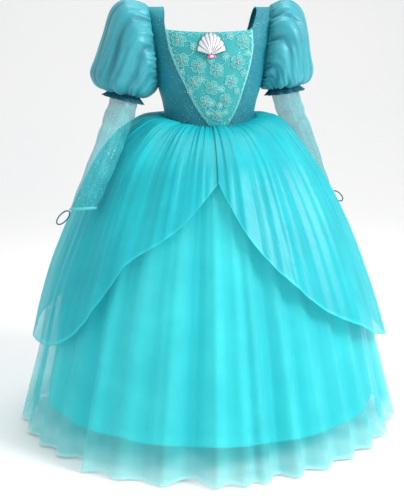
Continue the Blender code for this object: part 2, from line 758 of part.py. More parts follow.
class SheerSkirt:
    """The outer tulle skirt: a front and a back, each with its own long folds."""

    def __init__(self, form):
        self.form = form

    def columns(self, folds):
        """Angle and depth at the hem of each column: a ridge, then the trough's points up to the next."""
        found = []
        for fold, after in zip(folds, folds[1:]):
            for k in range(COLUMNS_PER_FOLD):
                share = k / COLUMNS_PER_FOLD
                crest = fold.ridge + (after.ridge - fold.ridge) * share
                depth = crest + (fold.trough - crest) * (0.0 if k == 0 else 1.0)
                found.append((fold.angle + (after.angle - fold.angle) * share, depth))
        found.append((folds[-1].angle, folds[-1].ridge))
        return found

    def rows(self, folds):
        columns = self.columns(folds)
        made = []
        for row in range(len(SKIRT)):
            opened = self.form.fold_share(row)
            made.append([self.form.point(row, math.radians(a), 0.0, -depth * opened) for a, depth in columns])
        return made

    def build(self):
        for word, folds in (("front", FRONT_FOLDS), ("back", BACK_FOLDS)):
            half = -1 if word == "front" else 1
            cloth(f"skirt_sheer_{word}", self.rows(folds), TULLE_WALL, "tulle", half=half)


class LiningSkirt:
    """The opaque satin underskirt, shorter than the tulle."""

    def __init__(self, form):
        self.form = form

    def build(self):
        last_row = self.form.row_at_level(LINING_HEM)
        fixed = [float(row) for row in range(5)]
        lower = np.linspace(5.0, last_row, 6)
        for word, start in (("front", -90.0), ("back", 90.0)):
            rows = []
            for row in [*fixed, *lower]:
                opened = self.form.fold_share(row)
                room = TULLE_WALL + SEAM_GAP + LINING_CLEARANCE * smoothstep(row / 3)
                line = []
                for j in range(LINING_COLUMNS + 1):
                    angle = math.radians(start + 180.0 * j / LINING_COLUMNS)
                    wave = LINING_WAVE_DEPTH * (0.5 - 0.5 * math.cos(LINING_WAVES * angle))
                    fold = -(DEEPEST_TROUGH + wave) * opened
                    line.append(self.form.point(row, angle, -room, fold))
                rows.append(line)
            cloth(f"skirt_lining_{word}", rows, LINING_WALL, "satin", half=-1 if word == "front" else 1)


class Petal:
    """One of the two organza petals: from centre front round the side to centre back."""

    def __init__(self, form, name, edge, ridges, over):
        self.form = form
        self.name = name
        self.edge = edge
        self.edge_level = columns_of(edge, "angle")["level"]
        self.ridges = ridges
        self.over = over

    def height(self, degrees, share, row):
        """How far the petal stands off the sheer skirt: its folds, the overlap and the flare of its edge."""
        folds = 0.0
        for ridge in self.ridges:
            middle = ridge.top_angle + (ridge.edge_angle - ridge.top_angle) * share
            folds += ridge.height * math.exp(-(((degrees - middle) / ridge.half_width) ** 2))
        opened = smoothstep(row / 4.0)
        ends = (self.edge[0].angle, self.edge[-1].angle)
        near = min(abs(degrees - end) for end in ends)
        overlap = PETAL_OVERLAP * smoothstep(1.6 - near / PETAL_OVERLAP_WIDTH) if self.over else 0.0
        lift = PETAL_LIFT * opened + overlap * smoothstep(row / 1.0)
        return lift + folds * opened + PETAL_FLARE * share**3

    def build(self):
        first, last = self.edge[0].angle, self.edge[-1].angle
        top_rows = [float(row) for row in range(5)]
        columns = []
        for j in range(PETAL_COLUMNS + 1):
            degrees = first + (last - first) * j / PETAL_COLUMNS
            end_row = self.form.row_at_level(self.edge_level(degrees))
            lower = list(np.linspace(top_rows[-1], end_row, PETAL_LOWER_ROWS + 1))[1:]
            column = []
            for row in top_rows + lower:
                share = row / end_row
                out = PETAL_CLEARANCE + TULLE_WALL + self.height(degrees, share, row)
                column.append(self.form.point(row, math.radians(degrees), out))
            columns.append(column)
        rows = [list(row) for row in zip(*columns)]
        cloth(self.name, rows, TULLE_WALL, "organza")


def ring_frame(centre, before, after):
    """Two directions across a sleeve at a centre: one towards the outside, one towards the front."""
    along = np.array(after) - np.array(before)
    along /= np.linalg.norm(along)
    across = np.array((1.0, 0.0, 0.0)) - along[0] * along
    across /= np.linalg.norm(across)
    front = np.cross(across, along)
    if front[1] > 0:
        front = -front
    return along, across, front


class PuffSleeve:
    """Puff, ruffle, lower sleeve, its bound hem and the finger loop of one arm."""

    def __init__(self, torso, side, word, puff, sleeve):
        self.torso = torso
        self.side = side
        self.word = word
        self.puff = puff
        self.sleeve = sleeve

    def mirrored(self, rows):
        return [[(self.side * x, y, z) for x, y, z in row] for row in rows]

    def armhole_ring(self):
        ring = []
        middle = UNDERARM / 2
        for j in range(PUFF_COLUMNS):
            turn = 2 * math.pi * j / PUFF_COLUMNS
            level = middle - middle * math.cos(turn)
            y = -ARMHOLE_DEPTH * math.sin(turn)
            ring.append((self.torso.curves["side"](level) + ARMHOLE_CLEARANCE, y, level))
        return ring

    def puff_ring(self, section, gather):
        """An ellipse from its top point to its under point, with small gathers round it."""
        top = np.array((section.top_x, section.centre_y, section.top_z))
        under = np.array((section.under_x, section.centre_y, section.under_z))
        centre, long_way = (top + under) / 2, (top - under) / 2
        half = np.linalg.norm(long_way)
        ring = []
        for j in range(PUFF_COLUMNS):
            turn = 2 * math.pi * j / PUFF_COLUMNS
            wave = gather * math.cos(PUFF_GATHERS * turn)
            point = centre + long_way * (1 + wave / half) * math.cos(turn)
            point[1] -= (section.half_depth + wave) * math.sin(turn)
            ring.append(tuple(point))
        return ring

    def build_puff(self):
        rings = [self.armhole_ring()]
        last = len(self.puff) - 1
        for i, section in enumerate(self.puff):
            share = abs(2 * i / last - 1)
            rings.append(self.puff_ring(section, PUFF_GATHER_HEIGHT * (0.25 + 0.75 * share**2)))
        cloth(f"sleeve_puff_{self.word}", self.mirrored(rings), PUFF_WALL, "taffeta", wrap=True)

    def cuff_centre(self):
        end = self.puff[-1]
        return np.array(((end.top_x + end.under_x) / 2, end.centre_y, (end.top_z + end.under_z) / 2))

    def cuff_ring(self, columns, drop, grow, wave):
        """A ring round the cuff, a drop below the puff's end and grown past its size, with ruffle waves."""
        end = self.puff[-1]
        across = np.array((end.top_x, end.centre_y, end.top_z)) - self.cuff_centre()
        radius = np.linalg.norm(across)
        across /= radius
        front = np.array((0.0, -1.0, 0.0))
        down = np.cross(front, across)
        down = down if down[2] < 0 else -down
        centre = self.cuff_centre() + down * (RUFFLE_CLEARANCE + drop)
        ring = []
        for j in range(columns):
            turn = 2 * math.pi * j / columns
            more = grow + wave * math.cos(RUFFLE_WAVES * turn)
            sideways = across * (radius + more) * math.cos(turn)
            ring.append(tuple(centre + sideways + front * (end.half_depth + more) * math.sin(turn)))
        return ring

    def build_ruffle(self):
        """The gathered edge below the puff, flaring from the elastic."""
        rings = []
        for drop, flare, wave in ((0.0, 0.0, 0.0), (0.35, 0.30, 1.0), (1.0, 1.0, 2.0)):
            rings.append(
                self.cuff_ring(PUFF_COLUMNS, RUFFLE_LENGTH * drop, RUFFLE_FLARE * flare, RUFFLE_WAVE * wave)
            )
        cloth(f"sleeve_ruffle_{self.word}", self.mirrored(rings), PUFF_WALL, "elastic", wrap=True)

    def centres(self):
        return [np.array((s.x, s.y, s.level)) for s in self.sleeve]

    def sleeve_ring(self, i, slide, grow=0.0):
        """Ring number i of the lower sleeve, slid along the arm. The last rings slant down on the outside."""
        centres = self.centres()
        section = self.sleeve[i]
        before, after = centres[max(0, i - 1)], centres[min(len(centres) - 1, i + 1)]
        along, across, front = ring_frame(centres[i], before, after)
        slant = SLEEVE_SLANT * smoothstep(i / (len(centres) - 1) * 2 - 1)
        ring = []
        for j in range(SLEEVE_COLUMNS):
            turn = 2 * math.pi * j / SLEEVE_COLUMNS
            wide = math.cos(turn)
            point = centres[i] + across * (section.half_width + grow) * wide
            point = point + front * (section.half_depth + grow) * math.sin(turn)
            ring.append(tuple(point + along * (slide + slant * wide)))
        return ring

    def build_sleeve(self):
        last = len(self.sleeve) - 1
        rings = [self.cuff_ring(SLEEVE_COLUMNS, SLEEVE_SEAT_DROP, -PUFF_WALL - SLEEVE_SEAT_GAP, 0.0)]
        rings += [self.sleeve_ring(i, 0.0) for i in range(1, last + 1)]
        cloth(f"sleeve_lower_{self.word}", self.mirrored(rings), TULLE_WALL, "glitter_tulle", wrap=True)
        binding = [self.sleeve_ring(last, slide, 0.0004) for slide in (SEAM_GAP, SEAM_GAP + BINDING_LENGTH)]
        name = f"sleeve_hem_binding_{self.word}"
        cloth(name, self.mirrored(binding), BINDING_WALL, "glitter_tulle", wrap=True)
        self.build_loop()

    def build_loop(self):
        """An elastic loop for a finger, hanging from the outer corner of the slanted hem."""
        last = len(self.sleeve) - 1
        corner = np.array(self.sleeve_ring(last, SEAM_GAP * 2 + BINDING_LENGTH, -0.0004)[0])
        along, across, front = ring_frame(corner, self.centres()[-2], self.centres()[-1])
        along = along + 0.35 * across
        along /= np.linalg.norm(along)
        sideways = np.cross(along, front)
        sideways /= np.linalg.norm(sideways)
        middle = corner + along * (LOOP_LENGTH / 2 + LOOP_CORD / 2 + 0.0004)
        curve = bpy.data.curves.new(f"finger_loop_{self.word}", "CURVE")
        curve.dimensions = "3D"
        curve.bevel_depth = LOOP_CORD / 2
        curve.bevel_resolution = 1
        spline = curve.splines.new("POLY")
        count = 16
        spline.points.add(count - 1)
        for j, point in enumerate(spline.points):
            turn = 2 * math.pi * j / count
            place = middle - along * LOOP_LENGTH / 2 * math.cos(turn)
            place = place + sideways * LOOP_WIDTH / 2 * math.sin(turn)
            point.co = (self.side * place[0], place[1], place[2], 1.0)
        spline.use_cyclic_u = True
        obj = bpy.data.objects.new(curve.name, curve)
        bpy.data.collections[GOWN].objects.link(obj)
        curve.materials.append(finish_material("elastic"))

    def build(self):
        self.build_puff()
        self.build_ruffle()
        self.build_sleeve()


def main():
    clear_scene()
    collection = bpy.data.collections.new(GOWN)
    bpy.context.scene.collection.children.link(collection)
    torso = TorsoForm()
    bodice = Bodice(torso)
    bodice.build()
    Brooch(bodice).build()
    form = SkirtForm()
    SheerSkirt(form).build()
    LiningSkirt(form).build()
    Petal(form, "petal_left", LEFT_PETAL_EDGE, LEFT_PETAL_RIDGES, over=False).build()
    Petal(form, "petal_right", RIGHT_PETAL_EDGE, RIGHT_PETAL_RIDGES, over=True).build()
    PuffSleeve(torso, LEFT, "left", LEFT_PUFF, LEFT_SLEEVE).build()
    PuffSleeve(torso, RIGHT, "right", RIGHT_PUFF, RIGHT_SLEEVE).build()


main()
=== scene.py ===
"""Looks of a child's full-length costume gown, filled out as worn, with nobody in it.

Metres, +Z up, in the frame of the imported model. The front faces -Y, and left and right are those
of somebody who looks at the front. Every cloth is a thin shell on the form of its solid.
"""

from __future__ import annotations

import logging
import math
from dataclasses import dataclass, field
from enum import Enum
from typing import NamedTuple, Union

import bpy
import numpy as np
from mathutils import Matrix, Vector


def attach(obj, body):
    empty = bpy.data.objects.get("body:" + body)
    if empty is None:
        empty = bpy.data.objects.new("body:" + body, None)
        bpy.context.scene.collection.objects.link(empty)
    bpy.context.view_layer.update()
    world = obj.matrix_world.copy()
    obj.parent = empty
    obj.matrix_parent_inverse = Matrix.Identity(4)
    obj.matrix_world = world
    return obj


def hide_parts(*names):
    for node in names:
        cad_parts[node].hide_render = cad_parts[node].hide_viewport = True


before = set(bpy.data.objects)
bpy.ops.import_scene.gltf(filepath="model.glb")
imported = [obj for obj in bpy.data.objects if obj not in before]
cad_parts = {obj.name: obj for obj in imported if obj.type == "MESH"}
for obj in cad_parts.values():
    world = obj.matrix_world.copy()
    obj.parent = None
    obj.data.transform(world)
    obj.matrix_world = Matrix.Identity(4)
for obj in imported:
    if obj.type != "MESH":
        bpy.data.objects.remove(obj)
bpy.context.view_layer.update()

LOG = logging.getLogger("gown")
SEED = 20
FULL_TURN = 2 * math.pi

# What every material has in common
CLOUD_SCALE = 14.0
CLOUD_SHARE = 0.35
WEAVE_HEIGHT = 0.0002
SHEEN_ROUGHNESS = 0.45
COAT_ROUGHNESS = 0.08

Colour = tuple[int, int, int]
Value = Union[float, np.ndarray]


class Side(Enum):
    """The two sides of the gown, as signs of X."""

    LEFT = -1
    RIGHT = 1

    @property
    def word(self) -> str:
        """The side's word in the names of its pieces."""
        return self.name.lower()


# Wall of each cloth and the room between layers, in metres, as in the solids
SEAM_GAP = 0.0003
TULLE_WALL = 0.0011
PUFF_WALL = 0.0013
LACE_WALL = 0.0010
LACE_STANDS_OFF = 0.0009

# Heights, in metres from the shoulders
HEM = -0.785
LINING_HEM = -0.733
WAIST = -0.2035
WAIST_POINT = 0.0165
UNDERARM = -0.145
FRONT_NECK = -0.0405
FRONT_NECK_DIP = 0.0045
BACK_NECK = -0.078
TORSO_SQUARENESS = 2.3
ARMHOLE_DEPTH = 0.034


def rows_of(kind: type, rows: tuple[tuple[float, ...], ...]) -> tuple:
    """The rows of a table, each as the given kind."""
    return tuple(kind(*row) for row in rows)


class TorsoRow(NamedTuple):
    """One ring of the torso: x of the side edge, and its depth to front and back."""

    level: float
    side: float
    front: float
    back: float


TORSO = rows_of(TorsoRow, (
    (-0.2250, 0.0835, 0.0715, 0.0700),
    (-0.2035, 0.0835, 0.0710, 0.0700),
    (-0.1750, 0.0875, 0.0735, 0.0720),
    (-0.1450, 0.0955, 0.0775, 0.0750),
    (-0.1200, 0.0985, 0.0790, 0.0765),
    (-0.0900, 0.1015, 0.0775, 0.0765),
    (-0.0600, 0.1055, 0.0715, 0.0740),
    (-0.0400, 0.1080, 0.0640, 0.0690),
    (-0.0200, 0.1105, 0.0500, 0.0550),
    (-0.0080, 0.1123, 0.0335, 0.0365),
    (-0.0020, 0.1130, 0.0170, 0.0186),
    (0.0000, 0.1132, 0.0000, 0.0000),
))


class LaceRow(NamedTuple):
    """Half width of the lace panel at a level."""

    level: float
    half_width: float


LACE_PANEL = rows_of(LaceRow, (
    (-0.2190, 0.0120),
    (-0.2075, 0.0200),
    (-0.1920, 0.0305),
    (-0.1700, 0.0420),
    (-0.1500, 0.0500),
    (-0.1350, 0.0560),
    (-0.1150, 0.0640),
    (-0.0900, 0.0720),
    (-0.0700, 0.0765),
    (-0.0405, 0.0785),
))
LEAN_AT_NECK = -0.0070
LEAN_AT_WAIST = 0.0085
PANEL_BOTTOM = -0.2190
LACE_BOTTOM = -0.2115


class FrontRow(NamedTuple):
    """One section of a side front: level of its inner and outer end, and the strap's inner edge."""

    inner_level: float
    outer_level: float
    strap_edge: float


SIDE_FRONT = rows_of(FrontRow, (
    (-0.2190, -0.2050, 0.0790),
    (-0.2065, -0.1950, 0.0790),
    (-0.1920, -0.1830, 0.0790),
    (-0.1700, -0.1640, 0.0790),
    (-0.1450, -0.1450, 0.0790),
    (-0.1220, -0.1230, 0.0790),
    (-0.1000, -0.1000, 0.0790),
    (-0.0780, -0.0780, 0.0790),
    (-0.0580, -0.0580, 0.0790),
    (-0.0405, -0.0405, 0.0790),
    (-0.0280, -0.0280, 0.0820),
    (-0.0170, -0.0170, 0.0840),
    (-0.0085, -0.0085, 0.0852),
    (-0.0025, -0.0025, 0.0858),
    (0.0000, 0.0000, 0.0860),
))
PLACKET_HALF = 0.0120


class BackRow(NamedTuple):
    """One section of a back: level of its inner and outer end, and x of its inner edge."""

    inner_level: float
    outer_level: float
    inner_edge: float


BACK = rows_of(BackRow, (
    (-0.2050, -0.2050, PLACKET_HALF),
    (-0.1750, -0.1750, PLACKET_HALF),
    (-0.1450, -0.1460, PLACKET_HALF),
    (-0.1180, -0.1250, PLACKET_HALF),
    (-0.0920, -0.1050, PLACKET_HALF),
    (-0.0780, -0.0920, PLACKET_HALF),
    (-0.0765, -0.0820, 0.0300),
    (-0.0720, -0.0720, 0.0500),
    (-0.0640, -0.0620, 0.0660),
    (-0.0520, -0.0500, 0.0765),
    (-0.0380, -0.0370, 0.0815),
    (-0.0220, -0.0220, 0.0840),
    (-0.0100, -0.0100, 0.0853),
    (-0.0030, -0.0030, 0.0858),
    (0.0000, 0.0000, 0.0860),
))


class Flower(NamedTuple):
    """A lace flower: place across the panel from -1 to 1, level, radius and number of petals."""

    across: float
    level: float
    radius: float
    petals: int


FLOWERS = rows_of(Flower, (
    (-0.74, -0.058, 0.0125, 5),
    (-0.78, -0.094, 0.0120, 6),
    (-0.40, -0.104, 0.0130, 5),
    (0.06, -0.112, 0.0125, 6),
    (0.74, -0.062, 0.0125, 6),
    (0.62, -0.098, 0.0130, 5),
    (-0.66, -0.134, 0.0120, 5),
    (-0.12, -0.143, 0.0125, 5),
    (0.50, -0.132, 0.0120, 6),
    (-0.46, -0.168, 0.0110, 6),
    (0.36, -0.166, 0.0120, 5),
    (-0.02, -0.193, 0.0100, 5),
))
BUDS = rows_of(Flower, (
    (-0.42, -0.070, 0.0065, 5),
    (0.44, -0.052, 0.0065, 5),
    (-0.06, -0.094, 0.0060, 4),
    (0.30, -0.088, 0.0065, 5),
    (-0.40, -0.128, 0.0060, 4),
    (0.86, -0.082, 0.0055, 5),
    (0.84, -0.118, 0.0060, 4),
    (0.18, -0.146, 0.0060, 5),
    (-0.90, -0.115, 0.0055, 4),
    (-0.20, -0.171, 0.0060, 5),
    (0.76, -0.150, 0.0055, 4),
    (-0.90, -0.150, 0.0050, 4),
    (0.10, -0.176, 0.0055, 4),
    (0.42, -0.188, 0.0050, 4),
    (-0.52, -0.190, 0.0050, 4),
))
FLOWER_HEIGHT = 0.0016

# Shell brooch, as in the solids
BROOCH_CENTRE = (-0.0066, -0.0850)
BROOCH_WIDTH = 0.0520
BROOCH_HEIGHT = 0.0400
BROOCH_RIBS = 9
BROOCH_PLATE = 0.0016
BROOCH_DOME = 0.0034
BROOCH_RIB = 0.0012
BROOCH_CLEARANCE = 0.0005
HINGE_SHARE = 0.18
FAN_HALF_ANGLE = math.radians(80)
FOOT_WIDTH = 0.0170
FOOT_HEIGHT = 0.0065
FOOT_THICK = 0.0040
OVAL_HALF_WIDTH = 0.0036
OVAL_HALF_HEIGHT = 0.0022


class SkirtRow(NamedTuple):
    """One ring of the bell: half sizes to left, right, front and back, and how square it is."""

    level: float
    left: float
    right: float
    front: float
    back: float
    square: float


SKIRT = rows_of(SkirtRow, (
    (-0.2035, 0.0850, 0.0850, 0.0725, 0.0715, 2.30),
    (-0.2000, 0.0950, 0.0950, 0.0800, 0.0790, 2.25),
    (-0.2040, 0.1180, 0.1190, 0.0990, 0.0970, 2.15),
    (-0.2180, 0.1430, 0.1390, 0.1240, 0.1200, 2.08),
    (-0.2400, 0.1720, 0.1580, 0.1450, 0.1450, 2.00),
    (-0.2740, 0.2010, 0.1820, 0.1700, 0.1720, 2.00),
    (-0.3300, 0.2320, 0.2190, 0.2010, 0.2030, 2.00),
    (-0.4000, 0.2620, 0.2550, 0.2360, 0.2380, 2.00),
    (-0.4800, 0.2940, 0.2870, 0.2700, 0.2720, 2.00),
    (-0.5600, 0.3170, 0.3140, 0.3020, 0.3030, 2.00),
    (-0.6400, 0.3340, 0.3360, 0.3290, 0.3280, 2.00),
    (-0.7150, 0.3550, 0.3570, 0.3530, 0.3510, 2.00),
    (HEM, 0.3740, 0.3760, 0.3760, 0.3720, 2.00),
))
POINT_FADES_AT = -0.300
FOLD_GROWTH = 1.2
DEEPEST_TROUGH = 0.040


class Fold(NamedTuple):
    """Angle of a ridge of the sheer skirt, and how far inside the form it and the next trough lie."""

    angle: float
    ridge: float
    trough: float


FRONT_FOLDS = rows_of(Fold, (
    (-90, 0.004, 0.024),
    (-77, 0.008, 0.026),
    (-66, 0.012, 0.028),
    (-56, 0.014, 0.040),
    (-43, 0.000, 0.018),
    (-33, 0.002, 0.018),
    (-20, 0.004, 0.036),
    (-5, 0.000, 0.014),
    (3, 0.004, 0.022),
    (8, 0.010, 0.040),
    (18, 0.012, 0.036),
    (28, 0.018, 0.036),
    (39, 0.020, 0.038),
    (49, 0.018, 0.038),
    (61, 0.016, 0.036),
    (76, 0.008, 0.032),
    (90, 0.004, 0.030),
))
BACK_FOLDS = rows_of(Fold, (
    (90, 0.004, 0.030),
    (104, 0.008, 0.030),
    (116, 0.012, 0.036),
    (127, 0.006, 0.028),
    (141, 0.010, 0.038),
    (152, 0.004, 0.026),
    (163, 0.012, 0.036),
    (177, 0.002, 0.032),
    (190, 0.010, 0.034),
    (201, 0.006, 0.026),
    (213, 0.012, 0.038),
    (226, 0.004, 0.030),
    (238, 0.012, 0.036),
    (253, 0.006, 0.028),
    (270, 0.004, 0.024),
))
LINING_WAVES = 14
LINING_WAVE_DEPTH = 0.006
LINING_CLEARANCE = 0.0030


class EdgeRow(NamedTuple):
    """Level of a petal's lower edge at an angle from centre front."""

    angle: float
    level: float


RIGHT_PETAL_EDGE = rows_of(EdgeRow, (
    (-2.5, -0.302),
    (4, -0.355),
    (9, -0.394),
    (14, -0.422),
    (20, -0.455),
    (37, -0.528),
    (50, -0.566),
    (63, -0.596),
    (78, -0.618),
    (92, -0.624),
    (106, -0.615),
    (126, -0.575),
    (146, -0.506),
    (164, -0.412),
    (182.5, -0.302),
))
LEFT_PETAL_EDGE = rows_of(EdgeRow, (
    (-3.1, -0.304),
    (-9, -0.330),
    (-17, -0.366),
    (-25, -0.396),
    (-38, -0.440),
    (-42, -0.478),
    (-48, -0.522),
    (-56, -0.572),
    (-66, -0.600),
    (-80, -0.610),
    (-94, -0.610),
    (-108, -0.598),
    (-128, -0.556),
    (-148, -0.488),
    (-165, -0.404),
    (-176.9, -0.320),
))
PETAL_CLEARANCE = 0.0005
PETAL_LIFT = 0.0022
PETAL_OVERLAP = 0.0028
PETAL_OVERLAP_WIDTH = 12.0
PETAL_FLARE = 0.0040


class Ridge(NamedTuple):
    """A large fold of a petal: its angle at the waist and at the edge, its height and half width."""

    top_angle: float
    edge_angle: float
    height: float
    half_width: float


RIGHT_PETAL_RIDGES = rows_of(Ridge, (
    (12, 9, 0.0040, 6.0),
    (30, 23, 0.0070, 7.0),
    (52, 49, 0.0100, 8.0),
    (70, 74, 0.0070, 7.0),
    (90, 94, 0.0055, 7.5),
    (109, 112, 0.0040, 7.5),
    (128, 127, 0.0055, 7.0),
    (147, 146, 0.0075, 7.5),
    (166, 167, 0.0050, 6.5),
))
LEFT_PETAL_RIDGES = rows_of(Ridge, (
    (-14, -12, 0.0040, 6.0),
    (-31, -27, 0.0055, 6.5),
    (-55, -42, 0.0120, 7.5),
    (-70, -64, 0.0035, 7.0),
    (-86, -84, 0.0060, 7.5),
    (-104, -106, 0.0070, 7.5),
    (-123, -125, 0.0055, 7.0),
    (-142, -141, 0.0075, 7.5),
    (-160, -159, 0.0050, 6.5),
))


class PuffRow(NamedTuple):
    """One ring of a puff: its top and under point, outward from the middle, and its depth."""

    top_x: float
    top_z: float
    under_x: float
    under_z: float
    centre_y: float
    half_depth: float


LEFT_PUFF = rows_of(PuffRow, (
    (0.1200, 0.0060, 0.0985, -0.1485, -0.001, 0.050),
    (0.1420, 0.0130, 0.1000, -0.1515, -0.002, 0.060),
    (0.1620, 0.0125, 0.1012, -0.1530, -0.003, 0.064),
    (0.1830, -0.0060, 0.1025, -0.1545, -0.004, 0.065),
    (0.1980, -0.0500, 0.1045, -0.1560, -0.006, 0.063),
    (0.2110, -0.0880, 0.1075, -0.1580, -0.008, 0.060),
    (0.2215, -0.1170, 0.1120, -0.1605, -0.010, 0.056),
    (0.2150, -0.1380, 0.1180, -0.1635, -0.010, 0.049),
    (0.2010, -0.1470, 0.1240, -0.1640, -0.010, 0.038),
    (0.1860, -0.1485, 0.1320, -0.1620, -0.010, 0.027),
))
RIGHT_PUFF = rows_of(PuffRow, (
    (0.1200, 0.0060, 0.0975, -0.1460, 0.001, 0.050),
    (0.1370, 0.0140, 0.0985, -0.1480, 0.002, 0.060),
    (0.1560, 0.0120, 0.0993, -0.1490, 0.003, 0.064),
    (0.1760, -0.0070, 0.1002, -0.1500, 0.004, 0.065),
    (0.1870, -0.0450, 0.1014, -0.1506, 0.005, 0.063),
    (0.1930, -0.0850, 0.1030, -0.1512, 0.006, 0.060),
    (0.1985, -0.1160, 0.1050, -0.1515, 0.007, 0.055),
    (0.1940, -0.1330, 0.1080, -0.1518, 0.008, 0.047),
    (0.1830, -0.1400, 0.1120, -0.1515, 0.008, 0.037),
    (0.1700, -0.1410, 0.1170, -0.1490, 0.008, 0.027),
))
ARMHOLE_CLEARANCE = 0.0006


class SleeveRow(NamedTuple):
    """One ring of a lower sleeve: outward x, y and level of its centre, half width and half depth."""

    x: float
    y: float
    level: float
    half_width: float
    half_depth: float


LEFT_SLEEVE = rows_of(SleeveRow, (
    (0.1590, -0.0100, -0.1610, 0.0225, 0.0200),
    (0.1640, -0.0210, -0.1800, 0.0260, 0.0220),
    (0.1745, -0.0450, -0.2030, 0.0260, 0.0200),
    (0.1885, -0.0830, -0.2350, 0.0245, 0.0180),
    (0.2010, -0.1060, -0.2620, 0.0240, 0.0170),
    (0.2165, -0.1220, -0.2950, 0.0230, 0.0160),
    (0.2290, -0.1280, -0.3230, 0.0220, 0.0155),
    (0.2400, -0.1320, -0.3470, 0.0210, 0.0150),
))
RIGHT_SLEEVE = rows_of(SleeveRow, (
    (0.1440, 0.0080, -0.1500, 0.0225, 0.0200),
    (0.1510, 0.0140, -0.1700, 0.0260, 0.0220),
    (0.1630, 0.0280, -0.1980, 0.0255, 0.0200),
    (0.1810, 0.0520, -0.2280, 0.0245, 0.0180),
    (0.2050, 0.0830, -0.2730, 0.0240, 0.0170),
    (0.2220, 0.1060, -0.3080, 0.0230, 0.0160),
    (0.2360, 0.1200, -0.3380, 0.0220, 0.0155),
    (0.2490, 0.1270, -0.3640, 0.0210, 0.0150),
))
SLEEVE_SEAT_DROP = 0.0008
SLEEVE_SEAT_GAP = 0.0007
SLEEVE_SLANT = 0.0100
RUFFLE_LENGTH = 0.0120
RUFFLE_FLARE = 0.0105
RUFFLE_WAVES = 12
RUFFLE_WAVE = 0.0014
RUFFLE_CLEARANCE = 0.0012


class RuffleRow(NamedTuple):
    """One ring of a ruffle: shares of its length and flare, and how many times its wave's height."""

    drop: float
    flare: float
    wave: float


RUFFLE = rows_of(RuffleRow, (
    (0.0, 0.0, 0.0),
    (0.35, 0.30, 1.0),
    (1.0, 1.0, 2.0),
))
BINDING_LENGTH = 0.0050
LOOP_LENGTH = 0.0300
LOOP_WIDTH = 0.0140
LOOP_CORD = 0.0024
LOOP_LEAN = 0.35


class Crease(NamedTuple):
    """A crease of a puff: turn and run at both ends, height (below 0 a trough) and width."""

    turn_from: float
    run_from: float
    turn_to: float
    run_to: float
    height: float
    width: float


CREASE_SHARE = 0.6

# Turns run in degrees from the top of the sleeve over its front, runs from the armhole to the cuff
LEFT_PUFF_CREASES = rows_of(Crease, (
    (50, 0.05, 62, 0.62, -0.0050, 5.0),
    (38, 0.05, 40, 0.50, 0.0030, 6.0),
    (72, 0.04, 88, 0.75, 0.0040, 7.0),
    (88, 0.04, 108, 0.60, -0.0055, 6.0),
    (104, 0.05, 132, 0.70, 0.0035, 8.0),
    (22, 0.30, 30, 0.98, -0.0045, 6.0),
    (58, 0.45, 66, 1.00, -0.0050, 6.0),
    (80, 0.55, 84, 1.00, 0.0035, 6.0),
    (104, 0.50, 98, 1.00, -0.0045, 7.0),
    (130, 0.10, 122, 0.95, -0.0040, 8.0),
    (5, 0.08, 12, 0.55, -0.0035, 6.0),
    (345, 0.10, 350, 0.90, -0.0040, 7.0),
    (305, 0.06, 315, 0.80, -0.0045, 7.0),
    (280, 0.10, 272, 0.98, 0.0035, 8.0),
    (255, 0.06, 248, 0.70, -0.0045, 7.0),
    (225, 0.20, 232, 0.98, -0.0040, 8.0),
))
RIGHT_PUFF_CREASES = rows_of(Crease, (
    (44, 0.04, 58, 0.55, -0.0045, 5.0),
    (60, 0.04, 74, 0.80, 0.0045, 7.0),
    (78, 0.04, 92, 0.60, -0.0055, 5.5),
    (94, 0.05, 112, 0.85, 0.0040, 7.0),
    (116, 0.04, 128, 0.62, -0.0050, 6.0),
    (30, 0.25, 38, 0.98, -0.0040, 7.0),
    (66, 0.50, 70, 1.00, -0.0045, 5.5),
    (88, 0.45, 90, 1.00, 0.0030, 6.0),
    (106, 0.55, 104, 1.00, -0.0050, 6.0),
    (140, 0.15, 136, 0.95, -0.0035, 8.0),
    (12, 0.06, 16, 0.60, -0.0040, 6.0),
    (350, 0.10, 346, 0.85, -0.0040, 7.0),
    (312, 0.06, 318, 0.80, -0.0045, 7.0),
    (284, 0.10, 276, 0.98, 0.0035, 8.0),
    (258, 0.06, 250, 0.70, -0.0045, 7.0),
    (228, 0.20, 236, 0.98, -0.0040, 8.0),
))


class Curve:
    """A curve through points that never overshoots them (monotone cubic), read at many places at once."""

    def __init__(self, at: list[float], values: list[float]) -> None:
        """Sorts the points and works out the slope at each.

        Args:
            at: Where the points lie.
            values: Their values.
        """
        order = np.argsort(at)
        self.x = np.asarray(at, float)[order]
        self.y = np.asarray(values, float)[order]
        self.step = np.diff(self.x)
        slope = np.diff(self.y) / self.step
        tangent = np.zeros(len(self.x))
        tangent[0], tangent[-1] = slope[0], slope[-1]
        before, after = slope[:-1], slope[1:]
        agree = before * after > 0
        w1 = 2 * self.step[1:] + self.step[:-1]
        w2 = self.step[1:] + 2 * self.step[:-1]
        safe_before = np.where(agree, before, 1.0)
        safe_after = np.where(agree, after, 1.0)
        tangent[1:-1] = np.where(agree, (w1 + w2) / (w1 / safe_before + w2 / safe_after), 0.0)
        self.tangent = tangent

    def __call__(self, where: Value) -> np.ndarray:
        """The curve's values.

        Args:
            where: The places to read it at, held to its ends.

        Returns:
            A value for each place.
        """
        where = np.clip(where, self.x[0], self.x[-1])
        i = np.clip(np.searchsorted(self.x, where) - 1, 0, len(self.x) - 2)
        t = (where - self.x[i]) / self.step[i]
        t2, t3 = t * t, t * t * t
        return (
            (2 * t3 - 3 * t2 + 1) * self.y[i]
            + (t3 - 2 * t2 + t) * self.step[i] * self.tangent[i]
            + (3 * t2 - 2 * t3) * self.y[i + 1]
            + (t3 - t2) * self.step[i] * self.tangent[i + 1]
        )


